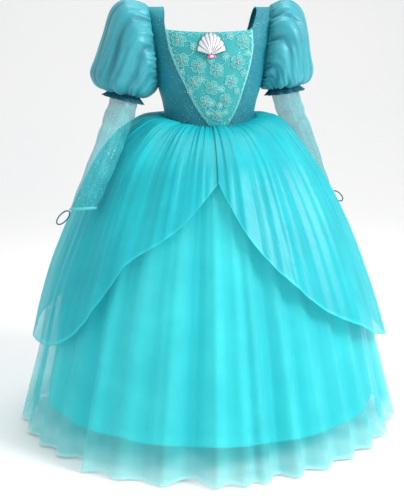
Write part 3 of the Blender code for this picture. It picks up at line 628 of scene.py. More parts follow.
def curves_of(table: tuple[NamedTuple, ...], key: str) -> dict[str, Curve]:
    """A curve of each other column of a table, read at a value of its key column.

    Args:
        table: The rows.
        key: Name of the column to read the others by.

    Returns:
        The curves by column name.
    """
    at = [getattr(row, key) for row in table]
    names = [name for name in table[0]._fields if name != key]
    return {name: Curve(at, [getattr(row, name) for row in table]) for name in names}


def curves_by_row(table: tuple[NamedTuple, ...]) -> dict[str, Curve]:
    """A curve of each column of a table, read by row number.

    Args:
        table: The rows.

    Returns:
        The curves by column name.
    """
    number = list(range(len(table)))
    return {name: Curve(number, [getattr(row, name) for row in table]) for name in table[0]._fields}


def smoothstep(value: Value) -> np.ndarray:
    """A soft step from 0 to 1."""
    t = np.clip(value, 0.0, 1.0)
    return t * t * (3 - 2 * t)


def lengths_along(points: np.ndarray, axis: int) -> np.ndarray:
    """Distance covered along one axis of a grid of points.

    Args:
        points: The grid, rows by columns by 3.
        axis: 0 to go down the rows, 1 to go along the columns.

    Returns:
        The running length at each point, from 0.
    """
    steps = np.linalg.norm(np.diff(points, axis=axis), axis=2)
    start = np.zeros_like(np.take(steps, [0], axis=axis))
    return np.concatenate([start, np.cumsum(steps, axis=axis)], axis=axis)


def unit(vector: np.ndarray) -> np.ndarray:
    """A vector brought to length 1."""
    return vector / np.linalg.norm(vector)


def loft(rings: np.ndarray, rows: int) -> np.ndarray:
    """A fine grid through rings of points, on a smooth spline down each column.

    Args:
        rings: The rings, rings by columns by 3.
        rows: How many rows the grid has.

    Returns:
        The grid, rows by columns by 3.
    """
    first = 2 * rings[0] - rings[1]
    last = 2 * rings[-1] - rings[-2]
    held = np.concatenate([[first], rings, [last]])
    at = np.linspace(0, len(rings) - 1, rows)
    i = np.minimum(at.astype(int), len(rings) - 2)
    t = (at - i)[:, None, None]
    a, b, c, d = held[i], held[i + 1], held[i + 2], held[i + 3]
    return 0.5 * (2 * b + (c - a) * t + (2 * a - 5 * b + 4 * c - d) * t**2 + (3 * b - a - 3 * c + d) * t**3)


def ripple(at: np.ndarray, counts: tuple[float, ...], seed: int) -> np.ndarray:
    """An irregular wave between about -1 and 1.

    Args:
        at: Place in radians.
        counts: How many waves each part has in a full turn.
        seed: Which of its fixed sets of phases it takes.

    Returns:
        The wave at each place.
    """
    phases = np.random.default_rng(SEED + seed).uniform(0, FULL_TURN, len(counts))
    return sum(np.sin(count * at + phase) for count, phase in zip(counts, phases)) / math.sqrt(len(counts))


def linear(colour: Colour) -> tuple[float, float, float, float]:
    """A screen colour of 0 to 255 as the renderer's linear one.

    Args:
        colour: Red, green and blue.

    Returns:
        The same with alpha 1, in linear values.
    """
    shares = [channel / 255 for channel in colour]
    return (*(s / 12.92 if s <= 0.04045 else ((s + 0.055) / 1.055) ** 2.4 for s in shares), 1.0)


@dataclass
class Shader:
    """A short way to add nodes to one tree."""

    tree: bpy.types.NodeTree

    def feed(self, node: bpy.types.Node, sockets: dict) -> None:
        """Fills a node's inputs.

        Args:
            node: The node.
            sockets: A value or another node's output for each input, by name or number.
        """
        for key, value in sockets.items():
            if isinstance(value, bpy.types.NodeSocket):
                self.tree.links.new(value, node.inputs[key])
            else:
                node.inputs[key].default_value = value

    def node(self, kind: str, sockets: dict | None = None, **settings: object) -> bpy.types.Node:
        """Adds a node.

        Args:
            kind: The node's type.
            sockets: A value or another node's output for each input, by name or number.
            **settings: The node's own settings.

        Returns:
            The node.
        """
        made = self.tree.nodes.new(kind)
        for name, value in settings.items():
            setattr(made, name, value)
        self.feed(made, sockets or {})
        return made

    def maths(self, operation: str, first: object, second: object = 0.0) -> bpy.types.NodeSocket:
        """The result of a sum on two values."""
        return self.node("ShaderNodeMath", {0: first, 1: second}, operation=operation).outputs[0]

    def mix(self, share: object, first: object, second: object) -> bpy.types.NodeSocket:
        """A colour between two others."""
        sockets = {0: share, 6: first, 7: second}
        return self.node("ShaderNodeMix", sockets, data_type="RGBA", clamp_factor=True).outputs[2]

    def group(self, tree: bpy.types.NodeTree, **sockets: object) -> bpy.types.Node:
        """Adds one of the shared effects, its inputs given by name."""
        named = {name.capitalize(): value for name, value in sockets.items()}
        return self.node("ShaderNodeGroup", named, node_tree=tree)


def start_material(name: str) -> tuple[bpy.types.Material, Shader, bpy.types.Node, bpy.types.Node]:
    """Starts a material.

    Args:
        name: Its name.

    Returns:
        The material, its shader, its surface node and the node that gives places on it.
    """
    material = bpy.data.materials.new(name)
    material.use_nodes = True
    shader = Shader(material.node_tree)
    principled = material.node_tree.nodes["Principled BSDF"]
    return material, shader, principled, shader.node("ShaderNodeTexCoord")


class Effects:
    """The shared node groups that every cloth and trim reads: weave, glitter, clouds and crinkles."""

    def __init__(self) -> None:
        """Makes each group once."""
        self.weave = self.make_weave()
        self.glitter = self.make_glitter()
        self.cloud = self.make_cloud()
        self.crinkle = self.make_crinkle()

    def start(self, name: str, inputs: dict[str, str], outputs: tuple[str, ...]) -> tuple[Shader, dict, dict]:
        """Starts a group with its sockets.

        Args:
            name: The group's name.
            inputs: Socket type of each input by name.
            outputs: Names of its outputs, all of them values.

        Returns:
            Its shader, its inputs by name and the inputs of its output node by name.
        """
        tree = bpy.data.node_groups.new(name, "ShaderNodeTree")
        for label, kind in inputs.items():
            tree.interface.new_socket(name=label, in_out="INPUT", socket_type=kind)
        for label in outputs:
            tree.interface.new_socket(name=label, in_out="OUTPUT", socket_type="NodeSocketFloat")
        shader = Shader(tree)
        entry = shader.node("NodeGroupInput")
        leave = shader.node("NodeGroupOutput")
        return shader, {k: entry.outputs[k] for k in inputs}, {k: leave.inputs[k] for k in outputs}

    def make_weave(self) -> bpy.types.NodeTree:
        """Crossing threads, as a height from 0 to 1.

        Returns:
            The group.
        """
        inputs = {"Vector": "NodeSocketVector", "Threads": "NodeSocketFloat"}
        shader, given, leave = self.start("Weave", inputs, ("Height",))
        parts = shader.node("ShaderNodeSeparateXYZ", {0: given["Vector"]})
        turns = shader.maths("MULTIPLY", given["Threads"], math.pi)
        waves = [shader.maths("SINE", shader.maths("MULTIPLY", parts.outputs[k], turns)) for k in (0, 1)]
        crossed = shader.maths("MULTIPLY", waves[0], waves[1])
        height = shader.maths("MULTIPLY_ADD", crossed, 0.5)
        height.node.inputs[2].default_value = 0.5
        shader.tree.links.new(height, leave["Height"])
        return shader.tree

    def make_glitter(self) -> bpy.types.NodeTree:
        """Small round specks: where they are, and how light each is.

        Returns:
            The group.
        """
        inputs = {"Vector": "NodeSocketVector", "Scale": "NodeSocketFloat", "Amount": "NodeSocketFloat"}
        shader, given, leave = self.start("Glitter", inputs, ("Mask", "Light"))
        cells = shader.node("ShaderNodeTexVoronoi", {"Vector": given["Vector"], "Scale": given["Scale"]})
        dots = shader.maths("LESS_THAN", cells.outputs["Distance"], 0.36)
        chance = shader.node("ShaderNodeSeparateColor", {0: cells.outputs["Color"]})
        least = shader.maths("SUBTRACT", 1.0, given["Amount"])
        chosen = shader.maths("GREATER_THAN", chance.outputs[0], least)
        shader.tree.links.new(shader.maths("MULTIPLY", dots, chosen), leave["Mask"])
        shader.tree.links.new(chance.outputs[1], leave["Light"])
        return shader.tree

    def make_cloud(self) -> bpy.types.NodeTree:
        """Soft patches from 0 to 1, for the small changes of tone in dyed cloth.

        Returns:
            The group.
        """
        inputs = {"Vector": "NodeSocketVector", "Scale": "NodeSocketFloat"}
        shader, given, leave = self.start("Cloud", inputs, ("Value",))
        sockets = {"Vector": given["Vector"], "Scale": given["Scale"], "Detail": 3.0, "Roughness": 0.55}
        noise = shader.node("ShaderNodeTexNoise", sockets)
        reach = {"Value": noise.outputs[0], "From Min": 0.32, "From Max": 0.68}
        spread = shader.node("ShaderNodeMapRange", reach, interpolation_type="SMOOTHSTEP")
        shader.tree.links.new(spread.outputs[0], leave["Value"])
        return shader.tree

    def make_crinkle(self) -> bpy.types.NodeTree:
        """Long thin crinkles that run down the cloth, as a height from 0 to 1.

        Returns:
            The group.
        """
        inputs = {"Vector": "NodeSocketVector", "Scale": "NodeSocketFloat", "Stretch": "NodeSocketFloat"}
        shader, given, leave = self.start("Crinkle", inputs, ("Height",))
        stretched = shader.node("ShaderNodeCombineXYZ", {0: 1.0, 1: given["Stretch"], 2: 1.0})
        sockets = {0: given["Vector"], 1: stretched.outputs[0]}
        placed = shader.node("ShaderNodeVectorMath", sockets, operation="MULTIPLY")
        sockets = {"Vector": placed.outputs[0], "Scale": given["Scale"], "Detail": 4.0, "Distortion": 0.6}
        noise = shader.node("ShaderNodeTexNoise", sockets)
        folded = shader.maths("ABSOLUTE", shader.maths("SUBTRACT", noise.outputs[0], 0.5))
        height = shader.maths("SUBTRACT", 1.0, shader.maths("MULTIPLY", folded, 4.0))
        shader.tree.links.new(height, leave["Height"])
        return shader.tree


@dataclass(frozen=True)
class ClothFinish:
    """The look of one cloth: its colours, with painted shade in its folds, how clear it is, its weave,
    crinkles and glitter.
    """

    name: str
    slot: str
    base: Colour
    # deep is the tone of the darker random patches, and also the painted shade that the crease mask lays into
    # folds
    deep: Colour
    # pale tints the sheen; the edge mask also mixes it in, which on the tulle's hem is painted light
    pale: Colour
    roughness: float = 0.6
    sheen: float = 0.0
    metallic: float = 0.0
    opacity: float = 1.0
    fold_opacity: float = 0.0
    edge_opacity: float = 0.0
    threads: float = 3000.0
    weave_bump: float = 0.15
    crinkle: float = 0.0
    crinkle_scale: float = 60.0
    stretch: float = 0.25
    glitter: float = 0.0
    glitter_scale: float = 900.0
    glitter_colour: Colour = (205, 255, 250)

    def material(self, effects: Effects) -> bpy.types.Material:
        """Builds the material.

        Args:
            effects: The shared node groups.

        Returns:
            The material.
        """
        material, shader, principled, places = start_material(self.name)
        crease = shader.node("ShaderNodeAttribute", attribute_name="crease").outputs["Fac"]
        edge = shader.node("ShaderNodeAttribute", attribute_name="edge").outputs["Fac"]
        cloud = shader.group(effects.cloud, vector=places.outputs["Object"], scale=CLOUD_SCALE).outputs[0]
        patches = shader.maths("MULTIPLY", cloud, CLOUD_SHARE)
        colour = shader.mix(patches, linear(self.base), linear(self.deep))
        # Painted shade: the crease mask darkens the colour towards deep in folds and troughs
        colour = shader.mix(crease, colour, linear(self.deep))
        # The edge mask pales the colour; on the tulle's hem this is painted light
        colour = shader.mix(edge, colour, linear(self.pale))
        roughness, metallic, mask = self.roughness, self.metallic, 0.0
        if self.glitter:
            specks = shader.group(
                effects.glitter,
                vector=places.outputs["Object"],
                scale=self.glitter_scale,
                amount=self.glitter,
            )
            mask = shader.maths("MULTIPLY", specks.outputs["Mask"], specks.outputs["Light"])
            colour = shader.mix(mask, colour, linear(self.glitter_colour))
            roughness = shader.maths("SUBTRACT", self.roughness, shader.maths("MULTIPLY", mask, 0.35))
            metallic = shader.maths("ADD", self.metallic, shader.maths("MULTIPLY", mask, 0.6))
        weave = shader.group(effects.weave, vector=places.outputs["UV"], threads=self.threads).outputs[0]
        height = shader.maths("MULTIPLY", weave, WEAVE_HEIGHT * self.weave_bump)
        if self.crinkle:
            crinkles = shader.group(
                effects.crinkle, vector=places.outputs["UV"], scale=self.crinkle_scale, stretch=self.stretch
            )
            height = shader.maths("ADD", height, shader.maths("MULTIPLY", crinkles.outputs[0], self.crinkle))
        bump = shader.node("ShaderNodeBump", {"Height": height, "Distance": 1.0, "Strength": 0.8})
        shader.feed(principled, {
            "Base Color": colour, "Normal": bump.outputs[0], "Roughness": roughness, "Metallic": metallic,
            "Sheen Weight": self.sheen, "Sheen Roughness": SHEEN_ROUGHNESS, "Sheen Tint": linear(self.pale),
        })
        if self.opacity < 1:
            alpha = shader.maths("MULTIPLY_ADD", crease, self.fold_opacity)
            alpha.node.inputs[2].default_value = self.opacity
            alpha = shader.maths("ADD", alpha, shader.maths("MULTIPLY", edge, self.edge_opacity))
            alpha = shader.maths("MINIMUM", shader.maths("ADD", alpha, mask), 1.0)
            shader.feed(principled, {"Alpha": alpha})
        return material


@dataclass(frozen=True)
class TrimFinish:
    """The look of a bead, a cord or the brooch: two colours mixed by a mask, and how it shines."""

    name: str
    slot: str
    base: Colour
    lines: Colour
    roughness: float = 0.3
    metallic: float = 0.0
    coat: float = 0.0
    grain: float = 400.0
    grain_bump: float = 0.00004

    def material(self, effects: Effects) -> bpy.types.Material:
        """Builds the material. Where the mesh holds a crease mask, the lines' colour shows.

        Args:
            effects: The shared node groups.

        Returns:
            The material.
        """
        material, shader, principled, places = start_material(self.name)
        crease = shader.node("ShaderNodeAttribute", attribute_name="crease").outputs["Fac"]
        cloud = shader.group(effects.cloud, vector=places.outputs["Object"], scale=self.grain).outputs[0]
        tone = shader.mix(shader.maths("MULTIPLY", cloud, 0.25), linear(self.base), linear(self.lines))
        colour = shader.mix(crease, tone, linear(self.lines))
        roughness = shader.maths("MULTIPLY_ADD", cloud, 0.1)
        roughness.node.inputs[2].default_value = self.roughness
        height = shader.maths("MULTIPLY", cloud, self.grain_bump)
        bump = shader.node("ShaderNodeBump", {"Height": height, "Distance": 1.0, "Strength": 0.6})
        shader.feed(principled, {
            "Base Color": colour, "Roughness": roughness, "Normal": bump.outputs[0],
            "Metallic": self.metallic, "Coat Weight": self.coat, "Coat Roughness": COAT_ROUGHNESS,
        })
        return material


# In each cloth, deep is the tone of its darker patches and also the painted shade in its folds; the tulle's
# pale is also painted light at its hem
VELVET = ClothFinish(
    "velvet_look", "velvet", (0, 128, 144), (0, 84, 102), (36, 196, 212),
    roughness=0.62, sheen=0.6, threads=2200.0, weave_bump=0.3, crinkle=0.0009,
    crinkle_scale=30.0, stretch=0.8, glitter=0.09, glitter_scale=800.0,
)
SATIN = ClothFinish(
    "satin_look", "satin", (16, 172, 176), (6, 132, 140), (120, 225, 225),
    roughness=0.4, sheen=0.2, threads=2600.0,
)
LINING = ClothFinish(
    "lining_look", "satin", (6, 226, 234), (0, 184, 198), (80, 246, 248),
    roughness=0.45, sheen=0.2, threads=2600.0, crinkle=0.0005, crinkle_scale=20.0,
)
TAFFETA = ClothFinish(
    "taffeta_look", "taffeta", (56, 164, 178), (18, 116, 134), (186, 232, 236),
    roughness=0.42, metallic=0.1, sheen=0.3, threads=2400.0, crinkle=0.0007,
    crinkle_scale=70.0, stretch=0.35,
)
GLITTER_TULLE = ClothFinish(
    "glitter_tulle_look", "glitter_tulle", (56, 190, 198), (16, 140, 154), (150, 228, 230),
    roughness=0.55, sheen=0.3, opacity=0.50, threads=1200.0,
    glitter=0.13, glitter_scale=700.0, crinkle=0.0006, crinkle_scale=46.0,
)
BINDING = ClothFinish(
    "binding_look", "glitter_tulle", (86, 206, 212), (24, 150, 162), (190, 244, 242),
    roughness=0.55, sheen=0.3, glitter=0.25, glitter_scale=520.0,
)
ORGANZA = ClothFinish(
    "organza_look", "organza", (2, 204, 216), (0, 156, 172), (70, 236, 240),
    roughness=0.42, sheen=0.35, opacity=0.72, fold_opacity=0.2,
    edge_opacity=0.2, threads=2400.0, crinkle=0.0005, crinkle_scale=30.0, stretch=0.12,
)
ROLLED_EDGE = ClothFinish(
    "rolled_edge_look", "organza", (6, 196, 208), (0, 158, 172), (60, 224, 228),
    roughness=0.6, sheen=0.1, threads=1500.0,
)
TULLE = ClothFinish(
    "tulle_look", "tulle", (84, 236, 240), (8, 196, 208), (176, 252, 252),
    roughness=0.65, sheen=0.4, opacity=0.40, fold_opacity=0.22,
    edge_opacity=0.2, threads=1000.0, crinkle=0.0006, crinkle_scale=30.0, stretch=0.05,
)
ELASTIC = ClothFinish(
    "elastic_look", "elastic", (4, 104, 126), (0, 66, 84), (60, 170, 184),
    roughness=0.65, sheen=0.3, threads=900.0, weave_bump=1.0,
)
LACE_NET = ClothFinish(
    "lace_net_look", "lace", (66, 190, 194), (26, 156, 164), (120, 214, 212),
    roughness=0.6, sheen=0.3, opacity=0.62, edge_opacity=0.3, threads=900.0,
    weave_bump=1.0, glitter=0.10, glitter_scale=420.0,
)
LACE_PETAL = ClothFinish(
    "lace_petal_look", "lace", (104, 204, 204), (56, 174, 178), (180, 234, 232),
    roughness=0.55, sheen=0.4, opacity=0.6, threads=1400.0, weave_bump=1.2,
    glitter=0.12, glitter_scale=500.0,
)
LACE_CORD = TrimFinish("lace_cord_look", "lace", (142, 218, 216), (84, 186, 188), 0.6, 0.0, 0.1)
PINK_BEAD = TrimFinish("pink_bead_look", "pink_enamel", (242, 196, 204), (206, 140, 156), 0.2, 0.1, 0.6)
SILVER_BEAD = TrimFinish("silver_bead_look", "enamel", (236, 236, 228), (170, 168, 160), 0.2, 0.5, 0.6)
GOLD_BEAD = TrimFinish("gold_bead_look", "enamel", (232, 214, 170), (176, 148, 92), 0.2, 0.5, 0.5)
ENAMEL = TrimFinish("enamel_look", "enamel", (228, 230, 236), (40, 38, 58), 0.2, 0.25, 0.8, 300.0)
PINK_ENAMEL = TrimFinish("pink_enamel_look", "pink_enamel", (232, 84, 138), (150, 30, 78), 0.2, 0.0, 0.8)
OVAL_ENAMEL = TrimFinish("oval_enamel_look", "enamel", (250, 244, 246), (214, 190, 200), 0.15, 0.0, 0.9)


class Workshop:
    """Makes meshes into pieces: names them, dresses them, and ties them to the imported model."""

    def __init__(self) -> None:
        """Makes the shared effects and the collection of the gown's pieces."""
        self.effects = Effects()
        self.materials: dict[str, bpy.types.Material] = {}
        self.collection = bpy.data.collections.new("gown_looks")
        bpy.context.scene.collection.children.link(self.collection)

    def piece(
        self,
        name: str,
        mesh: bpy.types.Mesh,
        finish: ClothFinish | TrimFinish,
        replaces: tuple[str, ...] = (),
    ) -> bpy.types.Object:
        """Makes an object of a mesh, gives it its finish and lets it ride on the gown.

        Args:
            name: The piece's name.
            mesh: Its mesh, in the gown's frame.
            finish: What it is made of.
            replaces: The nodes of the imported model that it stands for.

        Returns:
            The object.
        """
        if finish.name not in self.materials:
            self.materials[finish.name] = finish.material(self.effects)
        mesh.materials.append(self.materials[finish.name])
        mesh.shade_smooth()
        obj = bpy.data.objects.new(name, mesh)
        self.collection.objects.link(obj)
        if replaces:
            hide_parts(*replaces)
        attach(obj, "root")
        LOG.info("%s: %d faces", name, len(mesh.polygons))
        return obj

    def grid(
        self,
        name: str,
        points: np.ndarray,
        closed: bool = False,
        masks: dict[str, np.ndarray] | None = None,
    ) -> bpy.types.Mesh:
        """A mesh of one layer through a grid of points, with its lengths in metres as UVs.

        Args:
            name: The mesh's name.
            points: The grid, rows by columns by 3.
            closed: Whether the last column meets the first.
            masks: Values from 0 to 1 at the points, by name.

        Returns:
            The mesh.
        """
        rows, columns = points.shape[:2]
        spread = np.concatenate([points, points[:, :1]], axis=1) if closed else points
        u = lengths_along(spread, 1)
        u = u - u[:, [u.shape[1] // 2]]
        v = lengths_along(spread, 0)
        across = columns if closed else columns - 1
        i, j = np.meshgrid(np.arange(rows - 1), np.arange(across), indexing="ij")
        i, j = i.ravel(), j.ravel()
        k = (j + 1) % columns
        upper, lower = i * columns, (i + 1) * columns
        corners = np.stack([upper + j, upper + k, lower + k, lower + j], 1)
        cells = [(i, j), (i, j + 1), (i + 1, j + 1), (i + 1, j)]
        uv = np.stack([np.stack([u[a, b], v[a, b]], 1) for a, b in cells], 1)
        mesh = bpy.data.meshes.new(name)
        mesh.from_pydata(points.reshape(-1, 3), [], corners)
        layer = mesh.uv_layers.new(name="UVMap")
        layer.data.foreach_set("uv", uv.reshape(-1).astype(np.float32))
        for label, values in (masks or {}).items():
            held = mesh.attributes.new(label, "FLOAT", "POINT")
            held.data.foreach_set("value", np.clip(values, 0, 1).reshape(-1).astype(np.float32))
        return mesh

    def tubes(
        self,
        name: str,
        lines: list[np.ndarray],
        radius: float,
        sides: int = 6,
        closed: bool = False,
    ) -> bpy.types.Mesh:
        """A mesh of round cords along lines of points.

        Args:
            name: The mesh's name.
            lines: The lines, each points by 3.
            radius: Half the cord's thickness.
            sides: How many sides a cord has.
            closed: Whether each line meets its own start.

        Returns:
            The mesh.
        """
        points, faces, base = [], [], 0
        turns = np.linspace(0, FULL_TURN, sides, endpoint=False)
        for line in lines:
            if closed:
                along = np.roll(line, -1, axis=0) - np.roll(line, 1, axis=0)
            else:
                along = np.gradient(line, axis=0)
            along /= np.maximum(np.linalg.norm(along, axis=1, keepdims=True), 1e-9)
            helper = np.where(np.abs(along[:, [1]]) < 0.9, (0.0, 1.0, 0.0), (1.0, 0.0, 0.0))
            first = np.cross(along, helper)
            first /= np.linalg.norm(first, axis=1, keepdims=True)
            second = np.cross(along, first)
            ring = np.cos(turns)[None, :, None] * first[:, None]
            ring = ring + np.sin(turns)[None, :, None] * second[:, None]
            points.append((line[:, None] + radius * ring).reshape(-1, 3))
            count = len(line)
            for i in range(count if closed else count - 1):
                here, there = base + i * sides, base + (i + 1) % count * sides
                for j in range(sides):
                    k = (j + 1) % sides
                    faces.append((here + j, here + k, there + k, there + j))
            base += count * sides
        mesh = bpy.data.meshes.new(name)
        mesh.from_pydata(np.concatenate(points), [], faces)
        return mesh

    def beads(self, name: str, centres: np.ndarray, radius: float) -> bpy.types.Mesh:
        """A mesh of small round beads.

        Args:
            name: The mesh's name.
            centres: The middle of each bead.
            radius: Half a bead's size.

        Returns:
            The mesh.
        """
        rows, columns = 7, 10
        tilt = np.linspace(0.0, math.pi, rows)
        turn = np.linspace(0, FULL_TURN, columns, endpoint=False)
        ball = np.stack(
            [
                np.outer(np.sin(tilt), np.cos(turn)),
                np.outer(np.sin(tilt), np.sin(turn)),
                np.outer(np.cos(tilt), np.ones(columns)),
            ],
            2,
        )
        points, faces = [], []
        for number, centre in enumerate(centres):
            base = number * rows * columns
            points.append((centre + radius * ball).reshape(-1, 3))
            for i in range(rows - 1):
                for j in range(columns):
                    k = (j + 1) % columns
                    faces.append((base + i * columns + j, base + i * columns + k,
                                  base + (i + 1) * columns + k, base + (i + 1) * columns + j))
        mesh = bpy.data.meshes.new(name)
        mesh.from_pydata(np.concatenate(points), [], faces)
        return mesh

    def shell(
        self,
        name: str,
        points: np.ndarray,
        finish: ClothFinish | TrimFinish,
        nodes: tuple[str, ...] = (),
        closed: bool = False,
        **masks: np.ndarray,
    ) -> bpy.types.Object:
        """Makes a piece of one layer through a grid of points.

        Args:
            name: The piece's name.
            points: The grid, rows by columns by 3.
            finish: What it is made of.
            nodes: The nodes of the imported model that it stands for.
            closed: Whether the last column meets the first.
            **masks: Values from 0 to 1 at the points, by name.

        Returns:
            The object.
        """
        return self.piece(name, self.grid(name, points, closed, masks), finish, nodes)


@dataclass
class TorsoForm:
    """The general figure that the bodice is cut for, one rounded ring at each level."""

    curves: dict[str, Curve] = field(default_factory=lambda: curves_of(TORSO, "level"))

    def armhole_y(self, level: Value) -> np.ndarray:
        """How far the armhole's edge stands from the shoulder line at a level."""
        middle = UNDERARM / 2
        return ARMHOLE_DEPTH * np.sqrt(np.maximum(0.0, 1 - ((level - middle) / middle) ** 2))

    def ring(self, level: Value, back: bool) -> tuple[np.ndarray, np.ndarray]:
        """Half width and depth of the ring that runs through the side edge.

        Args:
            level: The heights.
            back: Whether the back half is meant.

        Returns:
            The half widths and the depths.
        """
        name = "back" if back else "front"
        side, depth = self.curves["side"](level), self.curves[name](level)
        read_at = np.minimum(level, TORSO[-2].level)
        edge = np.where(level > UNDERARM, self.armhole_y(read_at) / self.curves[name](read_at), 0.0)
        return side / (1 - edge**TORSO_SQUARENESS) ** (1 / TORSO_SQUARENESS), depth

    def turn(self, x: Value, level: Value, back: bool) -> np.ndarray:
        """The angle from the middle at which the ring has this x.

        Args:
            x: Distance from the middle, signed.
            level: The heights.
            back: Whether the back half is meant.

        Returns:
            The angles in radians.
        """
        half_width, _ = self.ring(level, back)
        return np.arcsin(np.minimum(1.0, np.abs(x) / half_width) ** (TORSO_SQUARENESS / 2)) * np.sign(x)

    def point(self, angle: Value, level: Value, back: bool = False, out: Value = 0.0) -> np.ndarray:
        """Points of the rings, moved out along the normal in the ring's plane.

        Args:
            angle: Angles from the middle, in radians.
            level: The heights.
            back: Whether the back half is meant.
            out: How far out of the torso they stand.

        Returns:
            The points, with a last axis of 3.
        """
        half_width, depth = self.ring(level, back)
        s, c = np.sin(angle), np.cos(angle)
        x = half_width * np.abs(s) ** (2 / TORSO_SQUARENESS) * np.sign(s)
        y = depth * np.maximum(0.0, c) ** (2 / TORSO_SQUARENESS)
        slope_x = x / half_width**2
        slope_y = y / np.maximum(depth, 1e-6) ** 2
        length = np.maximum(np.hypot(slope_x, slope_y), 1e-9)
        x = x + out * slope_x / length
        y = y + out * slope_y / length
        return np.stack(np.broadcast_arrays(x, y if back else -y, level), -1)

    def place(self, x: Value, level: Value, out: Value = 0.0, back: bool = False) -> np.ndarray:
        """Points of the torso at a distance from the middle and a level."""
        return self.point(self.turn(x, level, back), level, back, out)


@dataclass
class Bodice:
    """Front panel and its lace, side fronts with straps, backs and the covered placket."""

    workshop: Workshop
    torso: TorsoForm
    rows: int = 90
    columns: int = 46
    lace_rows: int = 150
    lace_columns: int = 120
    edge_cord: float = 0.0009
    half_width: Curve = field(default_factory=lambda: curves_of(LACE_PANEL, "level")["half_width"])

    def lean(self, level: Value) -> np.ndarray:
        """How far the middle of the lace panel lies to the right at a level."""
        share = np.clip((level - FRONT_NECK) / (LACE_PANEL[0].level - FRONT_NECK), 0.0, 1.0)
        return LEAN_AT_NECK + (LEAN_AT_WAIST - LEAN_AT_NECK) * share

    def panel_points(self, bottom: float, size: tuple[int, int], out: float, relief: bool) -> tuple:
        """The grid of the front panel or of its lace.

        Args:
            bottom: Level of its lower end.
            size: Rows and columns.
            out: How far it stands off the torso.
            relief: Whether the flowers' mounds are added.

        Returns:
            The points, and where across the panel each lies, from -1 to 1.
        """
        level = np.linspace(bottom, FRONT_NECK, size[0])[:, None]
        across = np.linspace(-1, 1, size[1])[None, :]
        x = across * (self.half_width(level) - SEAM_GAP) + self.lean(level)
        dip = FRONT_NECK_DIP * (1 - across**2) * smoothstep((level + 0.09) / 0.05)
        drop = 0.0010 * (1 - across**2) * (level - FRONT_NECK) / (bottom - FRONT_NECK)
        z = level - dip - drop
        raised = self.flower_relief(across, z) if relief else 0.0
        return self.torso.place(x, z, out + raised), np.broadcast_to(across, z.shape)

    def flower_relief(self, across: Value, level: Value) -> np.ndarray:
        """How far the lace stands up: a soft mound for each flower.

        Args:
            across: Place across the panel from -1 to 1.
            level: The heights.

        Returns:
            The heights of the mounds.
        """
        x = across * self.half_width(level)
        height = np.zeros(np.broadcast(x, level).shape)
        for flower in FLOWERS:
            away = np.hypot(x - flower.across * self.half_width(flower.level), level - flower.level)
            height = np.maximum(height, FLOWER_HEIGHT * smoothstep(1.25 * (1 - away / flower.radius)))
        return height

    def section(
        self, inner_x: np.ndarray, inner_level: np.ndarray, outer_level: np.ndarray, back: bool
    ) -> np.ndarray:
        """The grid of a side panel, from its inner edge to the side seam or the armhole.

        Args:
            inner_x: x of the inner edge in each row.
            inner_level: Its level.
            outer_level: Level of the outer edge in each row.
            back: Whether it is a back.

        Returns:
            The points, on the right half of the gown.
        """
        outer_x = self.torso.curves["side"](outer_level)
        start = self.torso.turn(inner_x, inner_level, back)[:, None]
        end = self.torso.turn(outer_x, outer_level, back)[:, None]
        share = np.linspace(0, 1, self.columns)[None, :]
        level = inner_level[:, None] + (outer_level - inner_level)[:, None] * share
        seam = SEAM_GAP / 2 if back else -SEAM_GAP / 2
        return self.torso.point(start + (end - start) * share, level, back) + (0.0, seam, 0.0)

    def side_front(self, side: Side) -> np.ndarray:
        """The grid of a side front with its strap."""
        read = curves_by_row(SIDE_FRONT)
        level = np.array([section.inner_level for section in SIDE_FRONT])
        seam = np.abs(side.value * self.half_width(level) + self.lean(level))
        strap = np.array([section.strap_edge for section in SIDE_FRONT])
        strap = strap + side.value * LEAN_AT_NECK * smoothstep(level / FRONT_NECK)
        inner_edge = Curve(list(range(len(SIDE_FRONT))), np.where(level < FRONT_NECK, seam, strap).tolist())
        row = np.linspace(0, len(SIDE_FRONT) - 1, self.rows)
        inner_x = inner_edge(row) + SEAM_GAP / 2
        points = self.section(inner_x, read["inner_level"](row), read["outer_level"](row), False)
        return points * (side.value, 1, 1)

    def back(self, side: Side) -> np.ndarray:
        """The grid of a back with its strap end."""
        read = curves_by_row(BACK)
        row = np.linspace(0, len(BACK) - 1, self.rows)
        inner_x = read["inner_edge"](row) + SEAM_GAP / 2
        points = self.section(inner_x, read["inner_level"](row), read["outer_level"](row), True)
        return points * (side.value, 1, 1)

    def dress_velvet(self) -> None:
        """Makes the velvet panels, each with a turned edge along neck and armhole."""
        for side in Side:
            panels = (("front", self.side_front(side), False), ("back", self.back(side), True))
            for word, points, back in panels:
                node = f"bodice_side_front_{side.word}" if not back else f"bodice_back_{side.word}"
                if side is Side.LEFT:
                    points = points[:, ::-1]
                name = f"velvet_{word}_{side.word}"
                # The crease mask on the velvet holds painted shade: darker bands near the waist
                panel = self.workshop.shell(name, points, VELVET, (node,), crease=self.drawn_in(points))
                name = f"velvet_edge_{word}_{side.word}"
                cord = self.workshop.tubes(name, self.turned_edges(points, side, back), self.edge_cord)
                edge = self.workshop.piece(name, cord, VELVET)

    def drawn_in(self, points: np.ndarray) -> np.ndarray:
        """Painted shade: soft darker bands near the waist, where a velvet panel is drawn in towards it.

        Args:
            points: The panel's grid.

        Returns:
            How much painted shade each point gets, from 0 to 1.
        """
        waist = smoothstep((-0.165 - points[:, :, 2]) / 0.05)
        drawn = 0.5 + 0.5 * np.sin(points[:, :, 0] * 240 + points[:, :, 2] * 90)
        return 0.35 * waist * drawn

